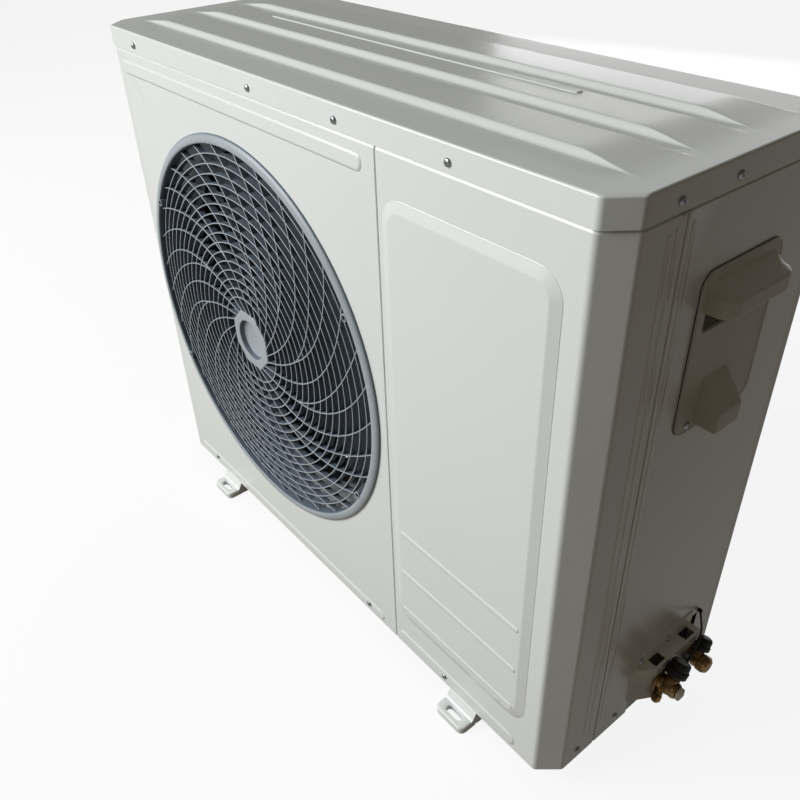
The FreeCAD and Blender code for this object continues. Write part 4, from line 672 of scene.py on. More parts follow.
side_wall = Form()
side_start = side_seam + seam_gap / 2
flat_near = side_start + 8.0
flat_far = back - 12.0
rear_bend = 2.5
bent_wall(side_wall, [(right - flange, side_start), (right, side_start), (right, flat_near)], seam_bend)
bent_wall(side_wall, [(right, flat_far), (right, back), (right - 270.0, back)], rear_bend)
bent_wall(side_wall, [(right, flat_near), (right, flat_far)], 0, tuck_start)
y_lines = sorted([flat_near, hollow_near, notch_near, hollow_far, notch_far, step_far, flat_far])
z_lines = [base, notch_top, step_top, hollow_low, hollow_high, tuck_start]
for y0, y1 in zip(y_lines, y_lines[1:]):
    for z0, z1 in zip(z_lines, z_lines[1:]):
        if not is_cut((y0 + y1) / 2, (z0 + z1) / 2):
            side_wall.add(at_x(right, [(y0, z0), (y1, z0), (y1, z1), (y0, z1)]), [[0, 1, 2, 3]])
side_bead(side_wall, side_seam + 7.5, 5.5, 41.0)
make(side_wall, "right_side_sheet", paint, ["right_side_panel"], thickness=sheet, inside=casing_middle,
     sharp=40)

# %% Rear corner post
post = Form()
bent_wall(post, [(left + 40.0, back), (left, back), (left, back - 40.0)], rear_bend)
make_sheet(post, "rear_corner_post")

# %% [markdown]
# The guard is the piece that takes the most skill. Twenty-two thin ribs leave the hub plate and sweep
# round in a spiral. Every second one forks on its way, so thirty-three reach the rim at even steps, and
# sixteen rings tie them together. The whole field is slightly domed. Each rib is a small rounded section
# carried along its spiral, and each ring is the same section turned round the axis, so ribs and rings
# meet flush as in a moulding.

# %% Fan guard: shared sizes
plate_apothem = 44.5
spoke_end = 283.2
fork_radius = 124.0
rib_half = 1.05
rib_depth = 9.0
field_front = front - 8.4
dome_start = 115.0
dome_drop = 8.7


def dome(radius):
    """Front edge of ribs and rings: flat in the middle and falling back behind the panel at the rim."""
    return field_front + dome_drop * max(radius - dome_start, 0.0) ** 2 / 168.0 ** 2


def spiral(radius, rib):
    """Where a rib stands, in degrees, at this radius: a fast start, then a steady turn to the rim."""
    hub_reach = min(max(radius - plate_apothem, 0.0), fork_radius - plate_apothem)
    rim_reach = max(radius - fork_radius, 0.0)
    hub_turn = 39.2 * math.sqrt(hub_reach / (fork_radius - plate_apothem))
    return rib["start"] + hub_turn + rim_reach * (rib["pitch"] + rib["gain"] * rim_reach)


def guard_point(radius, angle, y):
    turn = math.radians(angle)
    return Vector((guard_x + radius * math.cos(turn), y, guard_z + radius * math.sin(turn)))


def rib_section(nose):
    """Rounded section of a rib: (half widths across, millimetres behind its front edge)."""
    return ((-0.8, 0), (-1, 0.6), (-0.7, rib_depth), (0.7, rib_depth), (1, 0.6), (0.8, 0), (nose, -nose),
            (-nose, -nose))


def turn_on_fan_axis(form, y, profile, steps, looped=True):
    """Turns a profile of (radius, distance behind y) round the fan's axis."""
    turn_profile(form, profile, (guard_x, y, guard_z), (0, 1, 0), steps, looped)


# %% Fan guard: ribs


def spiral_rib(form, rib, stations=34):
    """A rounded blade of plastic that follows its spiral out to the rim."""
    rings = []
    for k in range(stations):
        radius = rib["from"] + (spoke_end - rib["from"]) * (k / (stations - 1)) ** 1.15
        here = guard_point(radius, spiral(radius, rib), 0)
        ahead = guard_point(radius + 0.5, spiral(radius + 0.5, rib), 0)
        way = (ahead - here).normalized()
        side = Vector((-way.z, 0, way.x)) * rib_half
        y = dome(radius)
        rings.append([here + side * across + Vector((0, y + behind, 0))
                      for across, behind in rib_section(0.35)])
    form.solid(rings)


guard_form = Form()
groups = 11
plate_edge = plate_apothem - 2.0
for k in range(groups):
    forked = 3.2 + 360 / groups * k
    alone = forked + 180 / groups
    spiral_rib(guard_form, {"start": forked, "from": plate_edge, "pitch": 0.19, "gain": 0.00022})
    spiral_rib(guard_form, {"start": forked, "from": fork_radius, "pitch": 0.36, "gain": -0.00046}, 24)
    spiral_rib(guard_form, {"start": alone, "from": plate_edge, "pitch": 0.259, "gain": 0.0})

# %% Fan guard: rings
for k in range(16):
    radius = 66.8 + 13.55 * k
    turn_on_fan_axis(guard_form, dome(radius), [(radius + a * rib_half, b) for a, b in rib_section(0.3)], 120)

# %% Fan guard: rim
turn_on_fan_axis(guard_form, front, [
    (297.0, 0), (296.9, -1.2), (296.2, -2.5), (294.6, -3.8), (292.4, -4.8), (290.0, -5.4), (287.5, -5.7),
    (285.6, -5.5), (284.2, -4.8), (283.5, -3.6), (283.2, -1.6), (283.1, 10.6), (283.5, 11.0), (284.4, 11.0),
    (284.8, 10.4), (285.0, -1.0), (289.0, -2.4), (294.0, -0.8), (295.0, 0)], 192)

# %% Fan guard: hub plate with its dish
plate = Form()
plate_front = front - 9.0
circle_steps = 64
corner_cut = 1.068
octagon = []
for k in range(circle_steps):
    angle = 360 * (k + 0.5) / circle_steps
    from_flat = math.radians(angle - 45 * round(angle / 45))
    octagon.append((angle, min(1 / math.cos(from_flat), corner_cut)))
plate_rings = []
for apothem, y in ((plate_apothem, 13.0), (plate_apothem, 2.2), (plate_apothem - 0.5, 0.9),
                   (plate_apothem - 1.8, 0.1), (plate_apothem - 3.0, 0)):
    plate_rings.append([guard_point(apothem * grow, angle, plate_front + y) for angle, grow in octagon])
for radius, y in ((32.4, 0), (31.4, 0.25), (30.6, 1.0), (29.6, 4.8), (28.4, 6.9), (25.6, 7.7), (19.0, 8.2),
                  (9.0, 8.5), (0, 8.6)):
    plate_rings.append([guard_point(radius, angle, plate_front + y) for angle, grow in octagon])
plate.skin(plate_rings, first=True)
guard_form.add(plate.points, plate.faces)

# %% Fan guard: screw bosses
boss_reach = 281.0
boss_places = [(a * boss_reach * math.cos(math.radians(30)), b * boss_reach * math.sin(math.radians(30)))
               for a in (-1, 1) for b in (-1, 1)]
for a, b in boss_places:
    turn_profile(guard_form, [(3.4, 4.0), (3.4, -5.4), (3.9, -6.2), (4.6, -6.4), (5.4, -6.1), (5.9, -5.2),
                              (6.3, 4.0)], (guard_x + a, front, guard_z + b), (0, 1, 0), 28, looped=True)
make(guard_form, "fan_guard_moulding", guard_plastic, ["fan_guard"], sharp=42)

# %% [markdown]
# Behind the guard sits a white air ring: a flange on the back of the panel, a flared lip and a short
# cylinder round the blade tips. The fan is one moulding with a deep hub and three broad blades. Each blade is
# a thin cambered section that grows from the hub to the tip circle, so its tip runs true to the ring.

# %% Air ring
air_ring = Form()
turn_on_fan_axis(air_ring, front + sheet, [
    (292.0, 0), (290.0, 0), (288.6, 1.0), (287.4, 3.4), (286.2, 8.5), (283.4, 13.5), (277.5, 19.5),
    (271.0, 27.0), (267.0, 36.0), (267.0, 60.0), (267.5, 62.0), (268.5, 62.0), (268.5, 36.5), (272.4, 28.0),
    (278.7, 20.5), (284.8, 14.2), (287.8, 8.8), (289.6, 2.6), (292.0, 1.5)], 144)
make(air_ring, "air_ring_moulding", ring_white, ["air_ring"], sharp=50)

# %% Fan: blade section
fan_front = front + 24.0
fan_length = 60.0
fan_middle = fan_front + 34.0
tip_radius = 260.8
hub_radius = 58.0
blade_root = hub_radius - 14.0
blade_span = 221.0
root_reach = 36.0
leading_growth = 144.0
trailing_growth = 82.0
root_depth = 20.0
depth_growth = 7.0
camber = 5.0
half_thickness = 1.5


def blade_ring(radius, chord_steps=16):
    """One closed section of a blade, all its points at this distance from the axis."""
    upper = []
    lower = []
    for k in range(chord_steps + 1):
        chord = k / chord_steps
        reach = radius
        for _ in range(5):
            share = min(max((reach - blade_root) / blade_span, 0.0), 1.0)
            leading = root_reach + leading_growth * share ** 0.85
            trailing = root_reach + trailing_growth * share
            across = -trailing + (leading + trailing) * chord
            reach = math.sqrt(max(radius ** 2 - across ** 2, 1.0))
        half_depth = root_depth + depth_growth * share
        bulge = 4 * chord * (1 - chord)
        slope = Vector((leading + trailing, 2 * half_depth)).normalized()
        depth = fan_middle + half_depth * (2 * chord - 1)
        half = half_thickness * (0.3 + 0.7 * math.sqrt(bulge))
        for side, lift in ((upper, camber * bulge + half), (lower, camber * bulge - half)):
            side.append((across - slope.y * lift, depth + slope.x * lift, reach))
    return upper + lower[::-1]


# %% Fan: blades, hub and webs
def on_fan(turn, x, y, z):
    """A point given from the fan's axis, turned round it."""
    return turn @ Vector((x, 0, z)) + Vector((guard_x, y, guard_z))


fan_form = Form()
inner_radius = hub_radius - 4.0
blade_stations = 15
for k in range(3):
    turn = Matrix.Rotation(math.radians(120 * k), 3, "Y")
    rings = []
    for i in range(blade_stations):
        radius = inner_radius + (tip_radius - inner_radius) * i / (blade_stations - 1)
        rings.append([on_fan(turn, x, y, z) for x, y, z in blade_ring(radius)])
    fan_form.solid(rings)
turn_on_fan_axis(fan_form, fan_front, [
    (6.1, 0), (18.0, 0), (20.0, 1.6), (40.0, 1.6), (44.0, 0), (49.0, 0), (53.6, 1.2), (56.8, 4.0),
    (58.0, 8.0), (58.0, fan_length), (55.0, fan_length), (55.0, 9.0), (50.0, 4.4), (14.0, 3.6),
    (14.0, fan_length), (6.1, fan_length)], 72)
for k in range(6):
    turn = Matrix.Rotation(math.radians(60 * k + 30), 3, "Y")
    web = [(14.0, -1.0), (55.5, -1.0), (55.5, 1.0), (14.0, 1.0)]
    fan_form.solid([[on_fan(turn, a, y, b) for a, b in web]
                    for y in (fan_front + 3.8, fan_front + fan_length - 14.0)])
make(fan_form, "fan_moulding", fan_plastic, ["fan"], body="fan_rotor", sharp=40)

# %% Shaft
shaft_low, shaft_high = planes("motor_shaft")
shaft_length = shaft_high.y - shaft_low.y
shaft_form = Form()
turn_on_fan_axis(shaft_form, shaft_low.y, [(0, 0), (5.2, 0), (6.0, 0.8), (6.0, shaft_length),
                                           (0, shaft_length)], 32, looped=False)
for k in range(6):
    turn_on_fan_axis(shaft_form, shaft_low.y + 1.2 + 0.9 * k, [(5.7, 0), (6.05, 0.3), (5.7, 0.6)], 32)
make(shaft_form, "shaft_turned", steel, ["motor_shaft"], body="fan_rotor", sharp=40)


# %% Fan nut
def hexagon_ring(middle, along, flats, turn=0.0):
    """Six corners round a point, at right angles to along."""
    return circle(Vector(middle), *across_ways(along), flats / math.sqrt(3), 6, math.radians(turn))


def hexagon_bar(form, start, along, flats, length, chamfer=0.8, turn=0.0):
    """A six-sided bar with chamfered ends."""
    start = Vector(start)
    along = Vector(along).normalized()
    form.solid([hexagon_ring(start + along * reach, along, flats - 2 * less, turn)
                for reach, less in ((0, chamfer), (chamfer, 0), (length - chamfer, 0), (length, chamfer))])


nut_low, nut_high = planes("fan_nut")
nut_form = Form()
hexagon_bar(nut_form, (guard_x, nut_low.y, guard_z), (0, 1, 0), 17.0, nut_high.y - nut_low.y, turn=30)
make(nut_form, "fan_nut_forged", zinc, ["fan_nut"], body="fan_rotor", bevel=0.3)

# %% [markdown]
# The motor is a drawn can with a rolled seam. The coil behind it is a stack of thin aluminium fins
# round the rear corner, which gives the machine its fine upright lines at the back. The fins
# are real plates here, one for every 2.6 mm, on a dark core that is painted shade for the depth inside.

# %% Motor
motor_low, motor_high = planes("fan_motor")
can_end = motor_high.y - motor_low.y
motor_form = Form()
turn_on_fan_axis(motor_form, motor_low.y, [
    (6.4, 0), (24.0, 0), (26.0, 1.5), (26.0, 8.0), (52.0, 8.0), (60.0, 11.0), (63.0, 16.0), (63.0, 33.0),
    (63.8, 34.0), (63.8, 38.0), (63.0, 39.0), (63.0, can_end - 5.0), (60.0, can_end), (0, can_end)],
    72, looped=False)
turn_on_fan_axis(motor_form, motor_low.y, [(6.4, 0), (6.4, 37.0), (0, 37.0)], 32, looped=False)
make(motor_form, "fan_motor_can", enamel, ["fan_motor"], sharp=50)

# %% Coil fins
coil_low, coil_high = planes("condenser_coil")
coil_painted_shade = 38.0
coil_bend = 72.0
fin_pitch = 2.6
fin_half = 0.18
bend_x = coil_low.x + coil_bend
bend_y = coil_high.y - coil_bend
bend_middle = Vector((bend_x, bend_y))
coil_form = Form()


def fin(inner, outer, side):
    """One upright fin between two plan points."""
    step = Vector(side) * fin_half
    plan = [inner - step, outer - step, outer + step, inner + step]
    coil_form.solid([at_z(z, plan) for z in (coil_low.z, coil_high.z)])


x = coil_high.x - fin_half
while x > bend_x:
    fin(Vector((x, coil_high.y - coil_painted_shade)), Vector((x, coil_high.y)), (1, 0))
    x -= fin_pitch
turn_steps = int(coil_bend * math.pi / 2 / fin_pitch)
for k in range(1, turn_steps):
    turn = math.pi / 2 * (1 + k / turn_steps)
    way = Vector((math.cos(turn), math.sin(turn)))
    fin(bend_middle + way * (coil_bend - coil_painted_shade), bend_middle + way * coil_bend, (-way.y, way.x))
y = bend_y
while y > coil_low.y + fin_half:
    fin(Vector((coil_low.x, y)), Vector((coil_low.x + coil_painted_shade, y)), (0, 1))
    y -= fin_pitch
make(coil_form, "coil_fin_stack", fins, ["condenser_coil"], sharp=30)
print("fins:", len(coil_form.faces) // 6)

# %% Coil core
# The dark core is painted shade: it darkens the deep inside of the fin stack.
core_form = Form()
core_skin = 3.0
core_lines = []
for reach in (core_skin, coil_painted_shade - core_skin):
    line = [(coil_high.x - 1.0, coil_high.y - reach)]
    for k in range(13):
        turn = math.pi / 2 * (1 + k / 12)
        line.append((bend_x + (coil_bend - reach) * math.cos(turn),
                     bend_y + (coil_bend - reach) * math.sin(turn)))
    line.append((coil_low.x + reach, coil_low.y + 1.0))
    core_lines.append(line)
plan = core_lines[0] + core_lines[1][::-1]
core_form.solid([at_z(z, plan) for z in (coil_low.z + 1.0, coil_high.z - 1.0)])
make(core_form, "coil_core", coil_shade_finish, sharp=30)

# %% Flange between the coil's end and the fan panel
# The flange takes the same dark finish as painted shade, since that gap lies in shade.
flange_form = Form()
flange_left = left + sheet + 0.4
flange_right = coil_low.x + coil_painted_shade
flange_near = coil_low.y - 8.4
flange_far = coil_low.y - 1.6
plan = [(flange_left, flange_near), (flange_right, flange_near), (flange_right, flange_far),
        (flange_left, flange_far)]
flange_form.solid([at_z(z, plan) for z in (coil_low.z, coil_high.z)])
make(flange_form, "coil_end_flange", coil_shade_finish)

# %% [markdown]
# The coil is guarded behind and at the left by a grid of coated wires. Level wires run round the rear corner
# and upright wires are welded to their inner side. Round wires are swept tubes with a real bend at the
# corner.

# %% Wire guard
wire_low, wire_high = planes("wire_guard")
wire_radius = 1.75
wire_form = Form()
back_line = back - sheet - wire_radius
left_line = left + sheet + wire_radius
level_low = base + 70.0
level_rise = (ceiling - 60.0 - level_low) / 6
for k in range(7):
    z = level_low + level_rise * k + wire_radius
    line = rounded_line([(wire_high.x, back_line, z), (left_line, back_line, z), (left_line, wire_low.y, z)],
                        10.0, 8)
    sweep_tube(wire_form, line, wire_radius)
inner_back = back_line - 2 * wire_radius + 0.3
inner_left = left_line + 2 * wire_radius - 0.3
corner_clear = 60.0
back_run = wire_high.x - 4 * wire_radius - (left + corner_clear)
side_run = back - corner_clear - wire_low.y - 2 * wire_radius
uprights = [(left + corner_clear + back_run * k / 9 + wire_radius, inner_back) for k in range(10)]
uprights += [(inner_left, wire_low.y + side_run * k / 3 + wire_radius) for k in range(4)]
for x, y in uprights:
    sweep_tube(wire_form, [(x, y, base + 40.0), (x, y, ceiling - 40.0)], wire_radius)
make(wire_form, "wire_guard_welded", wire_coat, ["wire_guard"], sharp=50)

# %% [markdown]
# The cable cover is one moulding: a thin plate with round corners, a hood that overhangs a hand hollow, and
# a wedge-shaped nose below, where the cables come in. Hood and nose are outlines stacked
# by height, each reaching out as far as the slanted side allows, so their corners stay round.

# %% Cable cover: sizes
plate_thick = 2.5
plate_face = right + plate_thick
plate_low = cover_low.z + 6.0
hood_near = cover_low.y + 10.0
hood_far = cover_high.y - 10.0
hood_top = cover_high.z - 12.0
hood_low = hood_top - 31.0
hood_face = right + 28.0
hood_corner = 16.0
slant_rise = 13.0
well_low = cover_low.z + 122.0


def cover_outline(inset):
    return round_rectangle(cover_low.y, cover_high.y, plate_low, cover_high.z, 16.0, inset)


def tongue(x_face, near, far, corner, z, steps=8):
    """A level outline that stands out from the plate, with its two outer corners round."""
    corner = min(corner, x_face - right - 0.2)
    line = [(right - 0.5, far, z), (right - 0.5, near, z)]
    for middle, start in (((x_face - corner, near + corner), -90), ((x_face - corner, far - corner), 0)):
        for k in range(steps + 1):
            turn = math.radians(start + 90 * k / steps)
            line.append((middle[0] + corner * math.cos(turn), middle[1] + corner * math.sin(turn), z))
    return line


# %% Cable cover: plate and hand hollow
cover_form = Form()
plate_rings = [at_x(right + height, cover_outline(inset)) for inset, height in
               ((0.0, 0.0), (0.0, 2.4), (0.3, 3.0), (0.9, 3.3), (1.9, 3.3), (2.6, 3.0), (3.2, 2.5),
                (4.0, plate_thick))]
opening = (hood_near + 2.0, hood_far - 2.0, well_low + 2.0, hood_top - 6.0, 4.0)
for inset, x in ((0.0, plate_face), (0.8, plate_face - 0.6), (1.2, right)):
    plate_rings.append(at_x(x, round_rectangle(*opening, inset, ease=0)))
cover_form.skin(plate_rings)
cover_form.skin([at_x(right - depth, round_rectangle(*opening, inset, ease=0))
                 for depth, inset in ((0.0, 1.2), (16.0, 1.7), (19.0, 3.2), (20.0, 6.2))], last=True)

# %% Cable cover: hood
hood_rings = [tongue(hood_face - less, hood_near + less, hood_far - less, corner, hood_low + rise)
              for less, corner, rise in ((2.3, 13.5, 14.0), (2.3, 13.5, 0.4), (2.0, 13.8, 0.0))]
for k in range(6):
    turn = math.radians(18 * k)
    less = 2.0 * (1 - math.sin(turn))
    hood_rings.append(tongue(hood_face - less, hood_near + less, hood_far - less, hood_corner - less,
                             hood_low + 4.0 * (1 - math.cos(turn))))
for share, drop in ((-0.14, 0.0), (-0.04, 0.25), (0.06, 1.0), (0.16, 2.4)):
    hood_rings.append(tongue(hood_face - drop, hood_near, hood_far, hood_corner,
                             hood_top - slant_rise * (1 - share)))
for share in (0.3, 0.5, 0.7, 0.9, 0.97, 1.0):
    reach = hood_face + (plate_face - hood_face) * share
    ease = max(share - 0.9, 0.0) * 10
    hood_rings.append(tongue(reach, hood_near + ease, hood_far - ease, hood_corner,
                             hood_top - slant_rise * (1 - share)))
cover_form.skin(hood_rings)

# %% Cable cover: nose and a painted shadow line
nose_near = cover_low.y + 34.0
nose_far = nose_near + 40.0
nose_low = cover_low.z + 10.0
nose_face = right + 27.0
cover_form.solid([tongue(x_face, nose_near + shrink, nose_far - shrink, 1.3, nose_low + rise, 3)
                  for rise, x_face, shrink in (
                      (0.0, plate_face + 0.2, 0.0), (0.2, nose_face - 1.2, 0.3), (0.8, nose_face - 0.3, 0.1),
                      (1.6, nose_face, 0.0), (22.2, nose_face, 0.0), (23.2, nose_face - 0.3, 0.0),
                      (24.2, nose_face - 1.0, 0.0), (55.0, plate_face + 1.2, 0.0),
                      (56.0, plate_face + 0.2, 0.2))])
make(cover_form, "cable_cover_moulding", moulded, ["cable_cover"], sharp=40)
# A thin dark strip round the plate is a painted shadow line for the gap between plate and side sheet.
shadow_line_strip = Form()
shadow_line_strip.skin([at_x(right + height, cover_outline(inset))
           for inset, height in ((-0.7, 0.0), (-0.7, 0.5), (-0.4, 0.8), (0.2, 0.8))])
make(shadow_line_strip, "cable_cover_shadow_line", rubber, sharp=50)

# %% [markdown]
# The service valves are forged and turned brass: a flange on the bracket, a barrel with the spindle, a flare
# port that leans to the rear under a black moulded cap, and a small service port with a hexagon cap. Turned
# profiles with collars, threads and a round forged lump where the ports meet give each its real form. The
# axes are read from the spindles of the CAD model, and the whole valve leans by one angle.

# %% Valve places
valve_face = bracket_high.x
lean = math.radians(32.0)
flare_way = Vector((0, math.sin(lean), math.cos(lean)))
valves = {
    "liquid": {"flange": (15.0, 14.0), "flare": (15.0, 18.0, 8.0), "cap": (14.5, 22.0),
               "port": (-flare_way, 18.5), "turned": brass},
    "gas": {"flange": (13.0, 12.0), "flare": (11.5, 15.5, 6.3), "cap": (11.0, 18.0),
            "port": (Vector((0, -flare_way.z, flare_way.y)), 16.5), "turned": zinc},
}
for kind, valve in valves.items():
    low, high = planes(kind + "_valve_spindle")
    valve["axis"] = (low + high) / 2
    valve["end"] = planes(kind + "_valve")[1].x
    valve["root"] = Vector((valve_face + valve["flare"][0], valve["axis"].y, valve["axis"].z))
    print(kind, "valve axis at", valve["axis"].y, valve["axis"].z, "barrel end", valve["end"])


# %% Service valve bodies
def threads(form, centre, along, radius, start, count, pitch=1.1):
    """A row of fine ridges that reads as a thread."""
    for k in range(count):
        at = start + pitch * k
        turn_profile(form, [(radius - 0.3, at), (radius + 0.35, at + pitch / 2), (radius - 0.3, at + pitch)],
                     centre, along, 28, looped=True)


def valve_barrel(form, middle, half_sizes, reach):
    """The flange on the bracket, the stub behind it and the barrel that reaches out to its open end."""
    half_width, half_height = half_sizes
    flange = (middle.y - half_width, middle.y + half_width, middle.z - half_height, middle.z + half_height)
    form.solid([at_x(middle.x + x, round_rectangle(*flange, 8.0, less))
                for x, less in ((0.0, 0.3), (0.4, 0.0), (2.4, 0.0), (3.0, 0.7))])
    turn_profile(form, [(0, -37.5), (8.6, -37.5), (9.1, -37.0), (9.1, 0), (10.9, 3.6), (10.4, 5.0),
                        (10.4, reach - 8.6), (11.2, reach - 7.6), (11.2, reach - 2.8), (10.8, reach - 2.2),
                        (10.2, reach - 0.6), (9.6, reach), (5.4, reach), (5.2, reach - 0.6),
                        (5.2, reach - 19.0), (0, reach - 19.0)], middle, (1, 0, 0), 48)


def flare_port(form, root, length, radius):
    """A round forged lump and the leaning port that grows from it."""
    lump = radius + 4.0
    turn_profile(form, [(lump * math.sin(math.radians(a)), -lump * math.cos(math.radians(a)))
                        for a in range(0, 181, 12)], root - Vector((0.6, 0, 0)), flare_way, 40)
    turn_profile(form, [(0, 0), (radius + 1.6, lump * 0.6), (radius + 1.2, length * 0.72),
                        (radius + 0.2, length * 0.8), (radius - 0.4, length * 0.82), (radius - 0.4, length),
                        (0, length)], root, flare_way, 36)
    threads(form, root, flare_way, radius - 0.3, length * 0.84, 2)


for kind, valve in valves.items():
    body = Form()
    middle = Vector((valve_face, valve["axis"].y, valve["axis"].z))
    valve_barrel(body, middle, valve["flange"], valve["end"] - valve_face)
    flare_port(body, valve["root"], *valve["flare"][1:])
    way, length = valve["port"]
    port_root = middle + Vector((7.5, 0, 0))
    turn_profile(body, [(0, 0), (6.6, 4.0), (6.2, 11.0), (5.0, 12.4), (4.5, 13.0), (4.5, length - 4.0),
                        (5.4, length - 3.6), (5.4, length - 1.6), (4.4, length - 1.0), (4.4, length),
                        (0, length)], port_root, way, 32)
    make(body, kind + "_valve_forging", brass, [kind + "_valve"], sharp=38)
    cap = Form()
    start = port_root + way * length
    hexagon_bar(cap, start, way, 12.0, 9.0, 0.7)
    turn_profile(cap, [(5.4, 8.4), (5.2, 9.6), (4.2, 11.4), (2.6, 12.0), (0, 12.0)], start, way, 28)
    make(cap, kind + "_port_cap_turned", valve["turned"], [kind + "_port_cap"], bevel=0.25)

# %% Liquid spindle with its square end
spindle = Form()
stem_low, stem_high = planes("liquid_valve_spindle")
axis = valves["liquid"]["axis"]
round_part = stem_high.x - stem_low.x - 5.6
turn_profile(spindle, [(0, 0), (5.0, 0), (5.0, round_part), (0, round_part)], (stem_low.x, axis.y, axis.z),
             (1, 0, 0), 28)
spindle.solid([at_x(stem_high.x - x, round_rectangle(axis.y - half, axis.y + half,
                                                     axis.z - half, axis.z + half, 2.2, steps=4))
               for x, half in ((6.0, 6.4), (5.4, 7.0), (1.3, 7.0), (0.0, 5.7))])
make(spindle, "liquid_spindle_square", square_white, ["liquid_valve_spindle"], body="liquid_spindle",
     sharp=40)

# %% Gas spindle with its hexagon socket, and the stem cap over it
spindle = Form()
stem_low, stem_high = planes("gas_valve_spindle")
axis = valves["gas"]["axis"]
length = stem_high.x - stem_low.x
turn_profile(spindle, [(0, 0), (5.0, 0), (5.0, length - 0.6), (4.4, length), (2.9, length)],
             (stem_low.x, axis.y, axis.z), (1, 0, 0), 30)
spindle.skin([hexagon_ring((x, axis.y, axis.z), (1, 0, 0), 5.0) for x in (stem_high.x, stem_high.x - 6.0)],
             last=True)
make(spindle, "gas_spindle_socket", steel, ["gas_valve_spindle"], body="gas_spindle", sharp=40)
cap = Form()
start = Vector((planes("stem_cap")[0].x, axis.y, axis.z))
hexagon_bar(cap, start, (1, 0, 0), 23.0, 10.6, 1.0, turn=15)
turn_profile(cap, [(10.6, 9.8), (10.2, 12.0), (8.8, 13.4), (6.4, 14.0), (0, 14.0)], start, (1, 0, 0), 40)
turn_profile(cap, [(6.6, 0), (6.6, 6.0), (0, 6.0)], start, (1, 0, 0), 30)
make(cap, "stem_cap_turned", brass, ["stem_cap"], bevel=0.35)


# %% Black caps on the flare ports
def grip_cap(form, root, along, radius, start, height, grip_ribs):
    """A moulded cap: plain collar, fluted sides and a softly domed top."""
    u, v = across_ways(along)
    turns = [2 * math.pi * k / (4 * grip_ribs) for k in range(4 * grip_ribs)]
    rings = []
    for reach, rise, grip in ((-radius, 0.0, 0), (-0.8, 0.0, 0), (0.0, 0.8, 0), (0.0, 5.2, 0), (-0.6, 6.0, 0),
                              (-1.3, 6.5, 0.7), (-1.2, height * 0.6, 0.7), (-1.6, height - 3.4, 0.6),
                              (-2.8, height - 1.6, 0.2), (-5.2, height - 0.4, 0), (-9.0, height, 0),
                              (-radius, height, 0)):
        ring = []
        for turn in turns:
            out = max(radius + reach, 0.01) - grip * (0.5 - 0.5 * math.cos(grip_ribs * turn))
            ring.append(root + along * (start + rise) + (u * math.cos(turn) + v * math.sin(turn)) * out)
        rings.append(ring)
    form.skin(rings)


for kind, valve in valves.items():
    cap = Form()
    radius, height = valve["cap"]
    grip_cap(cap, valve["root"], flare_way, radius, valve["flare"][1], height, int(radius * 1.7))
    make(cap, kind + "_flare_cap_moulding", black_plastic, [kind + "_flare_cap"],
         sharp=60)

# %% [markdown]
# A short rubber strap keeps the front cap with the machine: an eye on the side sheet, a cord that passes
# over the rear valve and a ring round the cap. The cord is a smooth curve through the same route as in
# the CAD piece.

# %% Strap
front_valve = valves["liquid"]
ring_inner = front_valve["cap"][0] - 0.9
ring_outer = ring_inner + 1.2
ring_start = front_valve["flare"][1] + 6.0
root = front_valve["root"]
strap_ends = Form()
turn_profile(strap_ends, [(ring_inner, 0.2), (ring_outer - 0.4, 0), (ring_outer, 0.5), (ring_outer, 3.5),
                          (ring_outer - 0.4, 4.0), (ring_inner, 3.8)],
             root + flare_way * ring_start, flare_way, 48, looped=True)
eye = Vector((right + 3.0, step_far + 1.0, step_top + 4.0))
turn_profile(strap_ends, [(0.0, 0.0), (2.6, 0.0), (3.0, 0.5), (3.0, 4.6), (2.0, 6.0), (0.0, 6.0)],
             (right, eye.y, eye.z), (1, 0, 0), 24)
make(strap_ends, "cap_strap_ring_and_eye", rubber, ["cap_strap"], sharp=50)

# %% Strap: cord
rearward = Vector((0, flare_way.z, -flare_way.y))
route = [eye, eye + Vector((12.0, -15.0, 2.0)), Vector((root.x - 6, eye.y - 33, eye.z)),
         Vector((root.x + 1, eye.y - 55, eye.z - 5)),
         root + flare_way * (ring_start + 16) + rearward * (ring_outer + 3.0),
         root + flare_way * (ring_start + 2) + rearward * (ring_outer + 0.7)]
strap_curve = bpy.data.curves.new("cap_strap_cord", "CURVE")
strap_curve.dimensions = "3D"
strap_line = strap_curve.splines.new("NURBS")
strap_line.points.add(len(route) - 1)
for point, place in zip(strap_line.points, route):
    point.co = (*(Vector(place) * MM), 1.0)
strap_line.order_u = 3
strap_line.use_endpoint_u = True
strap_line.resolution_u = 16
strap_curve.bevel_depth = 1.4 * MM
strap_curve.bevel_resolution = 4
strap_curve.use_fill_caps = True
strap_curve.materials.append(rubber)
strap_cord = add_object("cap_strap_cord", strap_curve)
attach(strap_cord, "casing")
print("strap points:", [tuple(round(v, 1) for v in place) for place in route])

# %% [markdown]
# Every screw is the same small pan head with a cross recess. The head is turned once and the recess is cut
# once with a Boolean. Copies of that mesh go to every place, each turned a little differently, as a
# driver leaves them.

